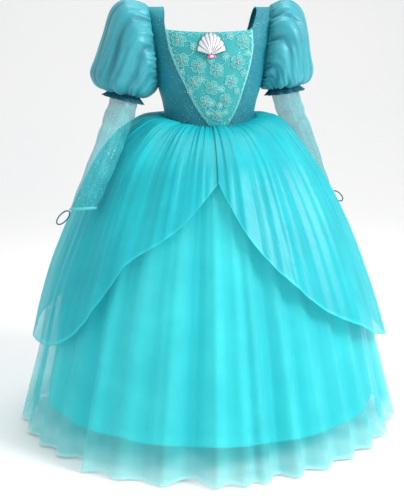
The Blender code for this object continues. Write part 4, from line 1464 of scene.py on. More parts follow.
    def turned_edges(self, points: np.ndarray, side: Side, back: bool) -> list[np.ndarray]:
        """The lines of a panel's neck edge and armhole.

        Args:
            points: The panel's grid.
            side: Which side it is on.
            back: Whether it is a back.

        Returns:
            The two lines, just inside the panel's face.
        """
        inner = points[:, -1] if side is Side.LEFT else points[:, 0]
        outer = points[:, 0] if side is Side.LEFT else points[:, -1]
        neck_from = BACK_NECK if back else FRONT_NECK
        neck = inner[inner[:, 2] >= neck_from - 0.0005]
        armhole = outer[outer[:, 2] >= UNDERARM]
        inward = np.array((0.0, -1.0 if back else 1.0, 0.0)) * self.edge_cord
        return [line + inward for line in (neck, armhole)]

    def dress_placket(self) -> None:
        """Makes the plain placket over the closing, with its two rows of stitching."""
        level = np.linspace(BACK[0].inner_level, BACK_NECK, 60)[:, None]
        x = np.linspace(-1, 1, 11)[None, :] * (PLACKET_HALF - SEAM_GAP / 2)
        points = self.torso.place(x, level, 0.0004 * (1 - (x / PLACKET_HALF) ** 4), True)
        placket = self.workshop.shell("velvet_placket", points, VELVET, ("bodice_back_placket",))
        down = np.linspace(BACK[0].inner_level + 0.002, BACK_NECK - 0.002, 90)
        lines = [self.torso.place(np.full(90, edge), down, 0.0003, True) for edge in (-0.0103, 0.0103)]
        stitches = [line[i : i + 2] for line in lines for i in range(0, 88, 3)]
        mesh = self.workshop.tubes("placket_stitches", stitches, 0.0002, 4)
        self.workshop.piece("placket_stitches", mesh, ELASTIC)

    def build(self) -> None:
        """Makes every piece of the bodice."""
        points, _ = self.panel_points(PANEL_BOTTOM, (90, 60), 0.0, False)
        panel = self.workshop.shell("satin_panel", points, SATIN, ("bodice_front_panel",))
        self.dress_velvet()
        self.dress_placket()
        Lace(self.workshop, self).build()


@dataclass
class Lace:
    """Corded floral lace over the front panel: net, flowers, buds, vines, scallops and beads."""

    workshop: Workshop
    bodice: Bodice
    cord: float = 0.0005
    petal_rows: int = 7
    petal_columns: int = 9
    scallop: float = 0.0105
    bead: float = 0.0013

    def spot(self, x: Value, level: Value, lift: Value = 0.0) -> np.ndarray:
        """Points on the lace.

        Args:
            x: Distance from the gown's middle.
            level: The heights.
            lift: How far they stand off the lace's face.

        Returns:
            The points.
        """
        across = (x - self.bodice.lean(level)) / self.bodice.half_width(level)
        out = LACE_STANDS_OFF + LACE_WALL + self.bodice.flower_relief(across, level) + lift
        return self.bodice.torso.place(x, level, out)

    def centre(self, flower: Flower) -> tuple[float, float]:
        """Distance from the middle and level of a flower."""
        half = float(self.bodice.half_width(flower.level))
        return flower.across * half + float(self.bodice.lean(flower.level)), flower.level

    def petal_outline(self, flower: Flower, number: int, share: Value, grow: float) -> tuple:
        """Distance and level of points on the outline of one petal of a flower.

        Args:
            flower: The flower.
            number: Which petal.
            share: How far round its outline, from 0 at the flower's middle to 1.
            grow: Size of the outline against the petal.

        Returns:
            The distances from the middle and the levels.
        """
        x, z = self.centre(flower)
        aim = FULL_TURN * (number + 0.37 * (x * 90 % 1)) / flower.petals
        wide = math.sin(math.pi / flower.petals) * 0.86 * grow
        along = flower.radius * (0.12 + 0.88 * grow * np.sin(math.pi * share) ** 0.8)
        beside = -flower.radius * wide * np.sin(FULL_TURN * share) * 0.78
        return (
            x + along * math.sin(aim) + beside * math.cos(aim),
            z + along * math.cos(aim) - beside * math.sin(aim),
        )

    def build_net(self) -> None:
        """The fine net that carries the flowers."""
        size = (self.bodice.lace_rows, self.bodice.lace_columns)
        out = LACE_STANDS_OFF + LACE_WALL
        points, across = self.bodice.panel_points(LACE_BOTTOM, size, out, True)
        edge = smoothstep((np.abs(across) - 0.93) / 0.05)
        net = self.workshop.shell("lace_net", points, LACE_NET, ("bodice_lace",), edge=edge)

    def build_petals(self) -> None:
        """The filled petals of the flowers, slightly padded."""
        corners, faces = [], []
        rows, columns = self.petal_rows, self.petal_columns
        fill = np.linspace(0.0, 1.0, rows)[:, None]
        share = np.linspace(0.04, 0.96, columns)[None, :]
        for flower in (*FLOWERS, *BUDS):
            for number in range(flower.petals):
                x, z = self.petal_outline(flower, number, share, 0.96)
                middle_x, middle_z = self.petal_outline(flower, number, np.full((1, 1), 0.5), 0.55)
                px = middle_x + (x - middle_x) * fill
                pz = middle_z + (z - middle_z) * fill
                lift = 0.0004 + 0.0006 * (1 - fill**2)
                base = sum(len(c) for c in corners)
                corners.append(self.spot(px, pz, lift + 0 * px).reshape(-1, 3))
                for i in range(rows - 1):
                    for j in range(columns - 1):
                        a = base + i * columns + j
                        faces.append((a, a + 1, a + columns + 1, a + columns))
        mesh = bpy.data.meshes.new("lace_petals")
        mesh.from_pydata(np.concatenate(corners), [], faces)
        self.workshop.piece("lace_petals", mesh, LACE_PETAL)

    def build_cords(self) -> None:
        """The cords round the petals, the vines between flowers and the scallops along the edges."""
        lines = []
        share = np.linspace(0.02, 0.98, 18)
        for flower in (*FLOWERS, *BUDS):
            for number in range(flower.petals):
                x, z = self.petal_outline(flower, number, share, 1.0)
                lines.append(self.spot(x, z, 0.0009))
        lines += self.vines()
        lines += self.scallops()
        mesh = self.workshop.tubes("lace_cords", lines, self.cord)
        self.workshop.piece("lace_cords", mesh, LACE_CORD)

    def vines(self) -> list[np.ndarray]:
        """Curved stems that join each flower to its two nearest buds."""
        lines = []
        share = np.linspace(0, 1, 16)
        for flower in FLOWERS:
            x, z = self.centre(flower)
            ends = sorted((math.dist((x, z), self.centre(bud)), self.centre(bud)) for bud in BUDS)[:2]
            for number, (away, end) in enumerate(ends):
                if away > 0.045:
                    continue
                start = 0.8 * flower.radius / max(away, 0.001)
                along = start + (0.93 - start) * share
                bow = (-1) ** number * 0.18 * np.sin(math.pi * share)
                vine_x = x + (end[0] - x) * along - (end[1] - z) * bow
                vine_z = z + (end[1] - z) * along + (end[0] - x) * bow
                lines.append(self.spot(vine_x, vine_z, 0.0006))
        return lines

    def scallops(self) -> list[np.ndarray]:
        """Small arches of cord along both sides of the V and under the neck."""
        lines = []
        share = np.linspace(0, 1, 11)
        levels = np.arange(LACE_BOTTOM + 0.006, FRONT_NECK - 0.006, self.scallop)
        for side in Side:
            for low in levels:
                level = low + self.scallop * share
                edge = self.bodice.half_width(level) - 0.0014 - 0.0036 * np.sin(math.pi * share)
                lines.append(self.spot(side.value * edge + self.bodice.lean(level), level, 0.0006))
        half = float(self.bodice.half_width(FRONT_NECK)) - 0.002
        count = 13
        for number in range(count):
            across = -1 + 2 * (number + share) / count
            dip = FRONT_NECK_DIP * (1 - across**2)
            level = FRONT_NECK - dip - 0.0012 - 0.0036 * np.sin(math.pi * share)
            lines.append(self.spot(across * half + float(self.bodice.lean(FRONT_NECK)), level, 0.0006))
        return lines

    def build_beads(self) -> None:
        """A bead at the heart of each flower and a few smaller ones round it."""
        hearts = np.array([self.spot(*self.centre(flower), self.bead) for flower in FLOWERS])
        buds = np.array([self.spot(*self.centre(bud), self.bead * 0.7) for bud in BUDS])
        mesh = self.workshop.beads("flower_beads", hearts, self.bead * 1.15)
        self.workshop.piece("flower_beads", mesh, PINK_BEAD)
        mesh = self.workshop.beads("bud_beads", buds, self.bead)
        self.workshop.piece("bud_beads", mesh, SILVER_BEAD)
        around = []
        for flower in FLOWERS:
            x, z = self.centre(flower)
            for number in range(5):
                turn = FULL_TURN * number / 5 + x * 40
                place_x, place_z = x + 0.0030 * math.sin(turn), z + 0.0030 * math.cos(turn)
                around.append(self.spot(place_x, place_z, self.bead * 0.6))
        mesh = self.workshop.beads("stamen_beads", np.array(around), self.bead * 0.55)
        self.workshop.piece("stamen_beads", mesh, GOLD_BEAD)

    def build(self) -> None:
        """Makes all of the lace."""
        self.build_net()
        self.build_petals()
        self.build_cords()
        self.build_beads()


@dataclass
class Brooch:
    """A ribbed fan shell on a flat plate, with a small foot that carries a white oval."""

    workshop: Workshop
    bodice: Bodice
    rows: int = 30
    columns_per_rib: int = 12
    line_width: float = 0.13
    hinge_fill: float = 0.07

    def __post_init__(self) -> None:
        """Works out the plane that the plate lies in, from the torso behind it."""
        x, self.hinge_level = BROOCH_CENTRE
        self.middle = self.hinge_level + BROOCH_HEIGHT / 2
        torso = self.bodice.torso
        face = torso.place(x, self.middle)
        above = torso.place(x, self.middle + 0.015)
        below = torso.place(x, self.middle - 0.015)
        self.slope = (above[1] - below[1]) / 0.030
        self.back_y = face[1] - (LACE_STANDS_OFF + LACE_WALL + BROOCH_CLEARANCE)

    def place(self, x: Value, z: Value, out: Value) -> np.ndarray:
        """Points over the plate's back face, moved out towards the front."""
        y = self.back_y + self.slope * (z - self.middle) - out
        return np.stack(np.broadcast_arrays(BROOCH_CENTRE[0] + x, y, z), -1)

    def fan(self, share: Value, turn: Value) -> tuple[np.ndarray, np.ndarray]:
        """Distance and level of points of the fan.

        Args:
            share: How far from the hinge, from 0 to 1.
            turn: The angle from upright.

        Returns:
            The distances from its middle and the levels.
        """
        x = BROOCH_WIDTH / 2 * share * np.sin(turn) / math.sin(FAN_HALF_ANGLE)
        return x, self.hinge_level + BROOCH_HEIGHT * share * np.cos(turn)

    def build_shell(self) -> None:
        """The ribbed fan: rounded ribs with dark lines between them, and a scalloped rim."""
        columns = BROOCH_RIBS * self.columns_per_rib + 1
        rib = np.linspace(0, BROOCH_RIBS, columns)[None, :]
        turn = FAN_HALF_ANGLE * (2 * rib / BROOCH_RIBS - 1)
        run = np.linspace(0, 1, self.rows)[:, None]
        round_rib = np.abs(np.sin(math.pi * rib))
        reach = (self.hinge_fill + (1 - self.hinge_fill) * run) * (1 - 0.05 * (1 - round_rib) * run)
        x, z = self.fan(reach, turn)
        dome = BROOCH_DOME * (1 - reach**2.2)
        dome = dome + BROOCH_RIB * round_rib**0.7 * np.sin(math.pi * np.minimum(1, reach))
        front = self.place(x, z, BROOCH_PLATE + dome)
        rim = self.place(x[-1:], z[-1:], np.zeros((1, columns)))
        foot = self.place(x[:1], z[:1], np.zeros((1, columns)))
        points = np.concatenate([foot, front, rim])
        groove = np.clip(1 - np.minimum(rib % 1, 1 - rib % 1) / self.line_width, 0, 1)
        lines = np.broadcast_to(smoothstep(groove * 1.6), x.shape).copy()
        lines = np.maximum(lines, smoothstep((run - 0.955) / 0.03) * np.ones_like(rib))
        lines = np.concatenate([lines[:1], lines, lines[-1:]])
        self.workshop.shell("brooch_fan", points[:, ::-1], ENAMEL, ("brooch_shell",), crease=lines[:, ::-1])

    def build_foot(self) -> None:
        """The pink foot with rounded corners, and the white oval set in it."""
        lowest = self.hinge_level + BROOCH_HEIGHT * HINGE_SHARE * math.cos(FAN_HALF_ANGLE)
        top = lowest - SEAM_GAP
        middle = top - FOOT_HEIGHT / 2
        turn = np.linspace(0, FULL_TURN, 48, endpoint=False)[None, :]
        wide = np.abs(np.cos(turn)) ** 0.55 * np.sign(np.cos(turn))
        tall = np.abs(np.sin(turn)) ** 0.55 * np.sign(np.sin(turn))
        narrow = 0.86 - 0.14 * tall
        share = np.array([1.0, 1.0, 0.97, 0.90, 0.5, 0.02])[:, None]
        out = np.array([0.0, 0.78, 0.93, 1.0, 1.06, 1.08])[:, None] * FOOT_THICK
        x = FOOT_WIDTH / 2 * wide * narrow * share
        z = middle + FOOT_HEIGHT / 2 * tall * share
        points = self.place(x, z, out)[:, ::-1]
        self.workshop.shell("brooch_pink_foot", points, PINK_ENAMEL, ("brooch_foot",), closed=True)
        share = np.array([1.0, 0.94, 0.78, 0.5, 0.02])[:, None]
        out = FOOT_THICK + np.array([0.0, 0.0006, 0.0011, 0.0014, 0.0015])[:, None]
        x = OVAL_HALF_WIDTH * np.cos(turn) * share
        z = middle + OVAL_HALF_HEIGHT * np.sin(turn) * share
        self.workshop.shell("brooch_oval", self.place(x, z, out)[:, ::-1], OVAL_ENAMEL, closed=True)

    def build(self) -> None:
        """Makes the brooch."""
        self.build_shell()
        self.build_foot()


@dataclass
class SkirtForm:
    """The bell that every skirt layer follows, read by row number and angle."""

    curves: dict[str, Curve] = field(default_factory=lambda: curves_by_row(SKIRT))
    gather: float = 0.0011
    gather_fades: float = 0.055

    def __post_init__(self) -> None:
        """Makes the curve that gives the row number at a level."""
        self.row_at_level = Curve([row.level for row in SKIRT[2:]], list(range(2, len(SKIRT))))

    def base(self, row: Value, angle: Value) -> tuple[np.ndarray, np.ndarray]:
        """Radius and level of the bell.

        Args:
            row: Row numbers of the table, with parts of a row.
            angle: Angles from centre front, in radians.

        Returns:
            The radii and the levels.
        """
        s, c = np.sin(angle), np.cos(angle)
        side = np.where(s < 0, self.curves["left"](row), self.curves["right"](row))
        depth = np.where(c > 0, self.curves["front"](row), self.curves["back"](row))
        power = self.curves["square"](row)
        radius = (np.abs(s / side) ** power + np.abs(c / depth) ** power) ** (-1 / power)
        level = self.curves["level"](row)
        fade = smoothstep((level - POINT_FADES_AT) / (WAIST - POINT_FADES_AT))
        return radius, level - WAIST_POINT * np.maximum(0.0, c) ** 1.5 * fade

    def gathers(self, row: Value, angle: Value) -> np.ndarray:
        """Fine gathers below the waist seam, the same for every layer so that none cuts the next."""
        run = np.maximum(0.0, row) * 0.028
        fade = smoothstep(row / 0.6) * np.exp(-((run / self.gather_fades) ** 1.6) * 0.35)
        return self.gather * fade * (ripple(angle, (61, 83, 107), 1) + 0.6 * ripple(angle, (143, 171), 2))

    def point(self, row: Value, angle: Value, layer: Value = 0.0, fold: Value = 0.0) -> np.ndarray:
        """Points of the bell.

        Args:
            row: Row numbers of the table.
            angle: Angles from centre front, in radians.
            layer: How far out along the normal.
            fold: How far straight outward.

        Returns:
            The points, with a last axis of 3.
        """
        step = 0.02
        before = self.base(np.maximum(0.0, row - step), angle)
        after = self.base(np.minimum(len(SKIRT) - 1, row + step), angle)
        radius, level = self.base(row, angle)
        along_r, along_z = after[0] - before[0], after[1] - before[1]
        length = np.hypot(along_r, along_z)
        out = layer + self.gathers(row, angle)
        radius = radius - along_z / length * out + fold
        level = level + along_r / length * out
        return np.stack(np.broadcast_arrays(radius * np.sin(angle), -radius * np.cos(angle), level), -1)

    def fold_share(self, row: Value) -> np.ndarray:
        """How far the folds have opened: none at the waist, full at the hem."""
        level = self.curves["level"](row)
        return np.maximum(0.0, (WAIST - level) / (WAIST - HEM)) ** FOLD_GROWTH


@dataclass
class SheerSkirt:
    """The outer tulle skirt, a front and a back, each with its long folds."""

    workshop: Workshop
    form: SkirtForm
    columns: int = 440
    rows: int = 110
    fine_depth: float = 0.0022
    hem_wander: float = 0.0040

    def depth(self, folds: tuple[Fold, ...], angle: np.ndarray) -> np.ndarray:
        """How far inside the form the cloth lies at the hem.

        Args:
            folds: The table of folds.
            angle: Angles in degrees.

        Returns:
            The depths, in metres.
        """
        at = np.array([fold.angle for fold in folds], float)
        i = np.clip(np.searchsorted(at, angle) - 1, 0, len(folds) - 2)
        share = (angle - at[i]) / (at[i + 1] - at[i])
        ridge = np.array([fold.ridge for fold in folds])
        trough = np.array([fold.trough for fold in folds])[i]
        crest = ridge[i] + (ridge[i + 1] - ridge[i]) * share
        sunk = smoothstep(share / 0.46) * smoothstep((1 - share) / 0.46)
        return crest + (trough - crest) * sunk

    def build(self) -> None:
        """Makes both halves."""
        for word, folds in (("front", FRONT_FOLDS), ("back", BACK_FOLDS)):
            degrees = np.linspace(folds[0].angle, folds[-1].angle, self.columns)[None, :]
            angle = np.radians(degrees)
            row = np.linspace(0, len(SKIRT) - 1, self.rows)[:, None]
            opened = self.form.fold_share(row)
            depth = self.depth(folds, degrees)
            fine = self.fine_depth * (0.5 + 0.5 * ripple(angle, (58, 74, 97), 3))
            ends = smoothstep(np.minimum(degrees - degrees[0, 0], degrees[0, -1] - degrees) / 4)
            inward = np.minimum(depth + np.maximum(0.0, fine) * ends, DEEPEST_TROUGH) * opened
            points = self.form.point(row, angle, 0.0, -inward)
            lifted = np.clip(0.5 + 0.5 * ripple(angle, (5, 9, 14), 4), 0, 1)
            wander = self.hem_wander * lifted * ends * smoothstep((row - 9) / 3)
            points[:, :, 2] += wander
            # Painted shade: the crease mask darkens the tulle in the troughs of its folds
            ridge_line = np.minimum(1.0, inward / np.maximum(DEEPEST_TROUGH * opened, 1e-6))
            crease = 0.75 * smoothstep(ridge_line) * smoothstep(row / 5)
            # Painted light: the tulle is paler where it hangs alone below the lining and along its hem edge
            painted_light_below_lining = 0.45 * smoothstep((row - self.form.row_at_level(LINING_HEM)) / 0.4)
            hem = np.maximum(smoothstep((row - (len(SKIRT) - 1.035)) / 0.02), painted_light_below_lining)
            hem = hem + np.zeros_like(degrees)
            tulle = self.workshop.shell(
                f"tulle_{word}", points[:, ::-1], TULLE, (f"skirt_sheer_{word}",),
                crease=crease[:, ::-1], edge=hem[:, ::-1],
            )


@dataclass
class LiningSkirt:
    """The opaque satin underskirt, shorter than the tulle."""

    workshop: Workshop
    form: SkirtForm
    columns: int = 180
    rows: int = 80

    def build(self) -> None:
        """Makes both halves."""
        last = float(self.form.row_at_level(LINING_HEM))
        for word, start in (("front", -90.0), ("back", 90.0)):
            row = np.linspace(0, last, self.rows)[:, None]
            angle = np.radians(np.linspace(start, start + 180.0, self.columns))[None, :]
            room = TULLE_WALL + SEAM_GAP + LINING_CLEARANCE * smoothstep(row / 3)
            wave = LINING_WAVE_DEPTH * (0.5 - 0.5 * np.cos(LINING_WAVES * angle))
            fold = -(DEEPEST_TROUGH + wave) * self.form.fold_share(row)
            points = self.form.point(row, angle, -room, fold)
            # Painted shade: the crease mask darkens the lining in the deeper parts of its waves
            crease = 0.3 * wave / LINING_WAVE_DEPTH * smoothstep(row / 6)
            hem = smoothstep((row - (last - 0.16)) / 0.02) * 0.25 + np.zeros_like(angle)
            lining = self.workshop.shell(
                f"lining_{word}", points[:, ::-1], LINING, (f"skirt_lining_{word}",),
                crease=crease[:, ::-1], edge=hem[:, ::-1],
            )


@dataclass
class Petal:
    """One organza petal, from centre front round the side to centre back, with its rolled edge."""

    workshop: Workshop
    form: SkirtForm
    side: Side
    edge: tuple[EdgeRow, ...]
    ridges: tuple[Ridge, ...]
    over: bool
    columns: int = 420
    rows: int = 100
    roll: float = 0.0008
    crease_height: float = 0.0016

    def height(
        self, degrees: np.ndarray, share: np.ndarray, row: np.ndarray
    ) -> tuple[np.ndarray, np.ndarray]:
        """How far the petal stands off the tulle.

        Args:
            degrees: Angles from centre front.
            share: How far down the petal, from 0 to 1.
            row: Row numbers of the bell.

        Returns:
            The heights, and the part of them that its folds make, from 0 to 1.
        """
        folds = np.zeros(np.broadcast(degrees, share).shape)
        for ridge in self.ridges:
            middle = ridge.top_angle + (ridge.edge_angle - ridge.top_angle) * share
            folds = folds + ridge.height * np.exp(-(((degrees - middle) / ridge.half_width) ** 2))
        opened = smoothstep(row / 4.0)
        ends = np.minimum(np.abs(degrees - self.edge[0].angle), np.abs(degrees - self.edge[-1].angle))
        overlap = PETAL_OVERLAP * smoothstep(1.6 - ends / PETAL_OVERLAP_WIDTH) if self.over else 0.0
        angle = np.radians(degrees)
        small = 0.5 + 0.5 * ripple(angle + 0.04 * share, (47, 62, 79), 6 + self.side.value)
        small = self.crease_height * np.maximum(0.0, small) * smoothstep(ends / 5) * smoothstep(row / 2)
        lift = PETAL_LIFT * opened + overlap * smoothstep(row)
        tone = folds / 0.010
        return lift + folds * opened + small + PETAL_FLARE * share**3, tone

    def build(self) -> None:
        """Makes the petal and the cord-like roll along its edge."""
        degrees = np.linspace(self.edge[0].angle, self.edge[-1].angle, self.columns)[None, :]
        level = curves_of(self.edge, "angle")["level"](degrees)
        share = np.linspace(0, 1, self.rows)[:, None]
        row = self.form.row_at_level(level) * share
        height, tone = self.height(degrees, share, row)
        out = PETAL_CLEARANCE + TULLE_WALL + height
        points = self.form.point(row, np.radians(degrees), out)
        if self.side is Side.RIGHT:
            points, tone = points[:, ::-1], tone[:, ::-1]
        # Painted shade: the crease mask darkens the organza between its ridges, fading out towards the waist
        crease = 0.45 * (1 - np.clip(tone, 0, 1)) * smoothstep(share * 3)
        rim = 0.5 * smoothstep((share - 0.99) / 0.008) + np.zeros_like(tone)
        name = f"organza_{self.side.word}"
        node = f"petal_{self.side.word}"
        petal = self.workshop.shell(name, points, ORGANZA, (node,), crease=crease, edge=rim)
        line = points[-1] + np.array((0.0, 0.0, -0.0004))
        name = f"rolled_edge_{self.side.word}"
        roll = self.workshop.piece(name, self.workshop.tubes(name, [line], self.roll), ROLLED_EDGE)


@dataclass
class Arm:
    """Puff, ruffle, lower sleeve, its bound hem and the finger loop of one side."""

    workshop: Workshop
    torso: TorsoForm
    side: Side
    puff: tuple[PuffRow, ...]
    sleeve: tuple[SleeveRow, ...]
    creases: tuple[Crease, ...]
    puff_rows: int = 150
    puff_columns: int = 300
    sleeve_rows: int = 130
    sleeve_columns: int = 110

    def turns(self, columns: int) -> np.ndarray:
        """Angles round a ring."""
        return np.linspace(0, FULL_TURN, columns, endpoint=False)

    def ordered(self, values: np.ndarray) -> np.ndarray:
        """Values round the rings, in the order that keeps this arm's faces outward."""
        return values if self.side is Side.LEFT else values[:, ::-1]

    def wrap(
        self, word: str, node: str, points: np.ndarray, finish: ClothFinish, **masks: np.ndarray
    ) -> bpy.types.Object:
        """Makes a piece round the arm, on its own side.

        Args:
            word: The piece's name without its side.
            node: The node that it stands for, without its side.
            points: The grid, on the right half of the gown.
            finish: What it is made of.
            **masks: Values from 0 to 1 at the points, by name.

        Returns:
            The object.
        """
        side = self.side.word
        placed = self.ordered(points * (self.side.value, 1, 1))
        masks = {label: self.ordered(values) for label, values in masks.items()}
        return self.workshop.shell(f"{word}_{side}", placed, finish, (f"{node}_{side}",), True, **masks)

    def armhole_ring(self, turn: np.ndarray) -> np.ndarray:
        """The ring of the puff at the armhole seam."""
        middle = UNDERARM / 2
        level = middle - middle * np.cos(turn)
        x = self.torso.curves["side"](level) + ARMHOLE_CLEARANCE
        return np.stack([x, -ARMHOLE_DEPTH * np.sin(turn), level], -1)

    def puff_ring(self, section: PuffRow, turn: np.ndarray) -> np.ndarray:
        """An ellipse from a section's top point to its under point."""
        top = np.array((section.top_x, section.centre_y, section.top_z))
        under = np.array((section.under_x, section.centre_y, section.under_z))
        ring = (top + under) / 2 + (top - under) / 2 * np.cos(turn)[:, None]
        ring[:, 1] -= section.half_depth * np.sin(turn)
        return ring

    def crease_height(self, turn: np.ndarray, run: np.ndarray) -> np.ndarray:
        """Height of the listed creases.

        Args:
            turn: Angles round the puff, in degrees.
            run: Place from the armhole to the cuff, from 0 to 1.

        Returns:
            The heights.
        """
        height = np.zeros(np.broadcast(turn, run).shape)
        for crease in self.creases:
            share = (run - crease.run_from) / (crease.run_to - crease.run_from)
            middle = crease.turn_from + (crease.turn_to - crease.turn_from) * np.clip(share, 0, 1)
            away = (turn - middle + 180) % 360 - 180
            fade = smoothstep((share + 0.12) / 0.3) * smoothstep((1.15 - share) / 0.4)
            height = height + crease.height * fade * np.exp(-((away / crease.width) ** 2))
        return height

    def build_puff(self) -> None:
        """The puff, with gathers at both ends and its large creases."""
        turn = self.turns(self.puff_columns)
        rings = np.array([self.armhole_ring(turn), *(self.puff_ring(section, turn) for section in self.puff)])
        points = loft(rings, self.puff_rows)
        run = np.linspace(0, 1, self.puff_rows)[:, None]
        seed = 10 + self.side.value
        near = np.exp(-((run / 0.16) ** 2)) + np.exp(-(((1 - run) / 0.20) ** 2))
        away = np.exp(-((run / 0.42) ** 2)) + np.exp(-(((1 - run) / 0.45) ** 2))
        gathers = 0.0013 * near * ripple(turn[None, :], (31, 43, 57), seed)
        gathers = gathers + 0.0008 * away * ripple(turn[None, :] + 0.25 * run, (19, 27, 38), seed + 4)
        held = smoothstep(run / 0.04) * smoothstep((1 - run) / 0.03)
        large = CREASE_SHARE * self.crease_height(np.degrees(turn)[None, :], run)
        height = (gathers + large) * held
        points = points + self.outward(points) * height[:, :, None]
        # Painted shade: the crease mask darkens the taffeta in the troughs of its creases and gathers
        crease = np.clip(-height / 0.0035, 0, 1) * 0.7
        puff = self.wrap("taffeta_puff", "sleeve_puff", points, TAFFETA, crease=crease)

    def cuff_centre(self) -> np.ndarray:
        """Middle of the puff's last ring."""
        end = self.puff[-1]
        return np.array(((end.top_x + end.under_x) / 2, end.centre_y, (end.top_z + end.under_z) / 2))

    def cuff_ring(self, columns: int, drop: float, grow: Value) -> np.ndarray:
        """A ring round the cuff.

        Args:
            columns: How many points it has.
            drop: How far below the puff's end it lies.
            grow: How far it stands out past the puff's last ring.

        Returns:
            The points.
        """
        end = self.puff[-1]
        across = np.array((end.top_x, end.centre_y, end.top_z)) - self.cuff_centre()
        radius = np.linalg.norm(across)
        across = across / radius
        front = np.array((0.0, -1.0, 0.0))
        down = np.cross(front, across)
        down = down if down[2] < 0 else -down
        centre = self.cuff_centre() + down * (RUFFLE_CLEARANCE + drop)
        turn = self.turns(columns)
        wide = ((radius + grow) * np.cos(turn))[:, None] * across
        deep = ((end.half_depth + grow) * np.sin(turn))[:, None] * front
        return centre + wide + deep

    def build_ruffle(self) -> None:
        """The gathered edge below the puff, flaring from the elastic."""
        columns, rows = 192, 16
        turn = self.turns(columns)
        profile = curves_of(RUFFLE, "drop")
        rings = []
        for drop in np.linspace(0, 1, rows):
            wave = RUFFLE_WAVE * profile["wave"](drop) * np.cos(RUFFLE_WAVES * turn)
            fine = 0.0005 * smoothstep(drop * 4) * ripple(turn, (29, 37), 15 + self.side.value)
            flare = RUFFLE_FLARE * profile["flare"](drop)
            rings.append(self.cuff_ring(columns, RUFFLE_LENGTH * drop, flare + wave + fine))
        # Painted shade: darkest at the top of the ruffle under the puff, fading to none at its edge
        crease = np.linspace(0.8, 0.0, rows)[:, None] + np.zeros((1, columns))
        ruffle = self.wrap("ruffle", "sleeve_ruffle", np.array(rings), ELASTIC, crease=crease)

    def centres(self) -> np.ndarray:
        """Middle of each ring of the lower sleeve."""
        return np.array([(row.x, row.y, row.level) for row in self.sleeve])

    def directions(self, along: np.ndarray) -> tuple[np.ndarray, np.ndarray]:
        """Two directions across the sleeve: one towards the outside, one towards the front.

        Args:
            along: The sleeve's own direction.

        Returns:
            The two directions.
        """
        across = unit(np.array((1.0, 0.0, 0.0)) - along[0] * along)
        front = np.cross(across, along)
        return across, (-front if front[1] > 0 else front)

    def sleeve_ring(self, i: int, slide: float, columns: int, grow: float = 0.0) -> np.ndarray:
        """A ring of the lower sleeve.

        Args:
            i: Its number.
            slide: How far it is moved along the arm.
            columns: How many points it has.
            grow: How far it stands out past its size.

        Returns:
            The points.
        """
        centres = self.centres()
        last = len(centres) - 1
        along = unit(centres[min(last, i + 1)] - centres[max(0, i - 1)])
        across, front = self.directions(along)
        slant = SLEEVE_SLANT * float(smoothstep(i / last * 2 - 1))
        turn = self.turns(columns)
        wide = np.cos(turn)[:, None]
        ring = centres[i] + across * (self.sleeve[i].half_width + grow) * wide
        ring = ring + front * (self.sleeve[i].half_depth + grow) * np.sin(turn)[:, None]
        return ring + along * (slide + slant * wide)

    def build_sleeve(self) -> None:
        """The sheer lower sleeve, with soft wrinkles across the bend, and its bound hem."""
        columns, last = self.sleeve_columns, len(self.sleeve) - 1
        seat = self.cuff_ring(columns, SLEEVE_SEAT_DROP, -PUFF_WALL - SLEEVE_SEAT_GAP)
        rings = np.array([seat, *(self.sleeve_ring(i, 0.0, columns) for i in range(1, last + 1))])
        points = loft(rings, self.sleeve_rows)
        run = np.linspace(0, 1, self.sleeve_rows)[:, None]
        turn = self.turns(columns)[None, :]
        held = smoothstep(run / 0.10) * smoothstep((1 - run) / 0.06)
        bend = np.exp(-(((run - 0.30) / 0.16) ** 2))
        wrinkles = 0.0011 * bend * np.sin(46 * run + 2.2 * np.sin(turn + 0.6))
        wrinkles = wrinkles + 0.0006 * np.sin(31 * run + 1.7 * np.sin(2 * turn))
        lengthwise = 0.0006 * ripple(turn + 0.5 * run, (5, 9, 13), 20 + self.side.value)
        height = (wrinkles + lengthwise) * held
        points = points + self.outward(points) * height[:, :, None]
        # Painted shade: a little darker all over, and more in the troughs of the wrinkles
        crease = np.clip(0.25 - height / 0.002 * 0.3, 0, 1)
        sleeve = self.wrap("sheer_sleeve", "sleeve_lower", points, GLITTER_TULLE, crease=crease)
        slides = np.linspace(SEAM_GAP, SEAM_GAP + BINDING_LENGTH, 9)
        grow = 0.0004 + 0.0008 * np.sin(np.linspace(0, math.pi, 9))
        band = np.array([self.sleeve_ring(last, s, columns, g) for s, g in zip(slides, grow)])
        binding = self.wrap("sleeve_binding", "sleeve_hem_binding", band, BINDING)

    def outward(self, points: np.ndarray) -> np.ndarray:
        """Unit normals of a tube that point away from its middle.

        Args:
            points: The tube's rings.

        Returns:
            A normal for each point.
        """
        along = np.roll(points, -1, axis=1) - np.roll(points, 1, axis=1)
        normal = np.cross(along, np.gradient(points, axis=0))
        normal = normal / np.maximum(np.linalg.norm(normal, axis=2, keepdims=True), 1e-12)
        middle = points.mean(axis=1, keepdims=True)
        return normal * np.sign(np.sum(normal * (points - middle), axis=2).mean())

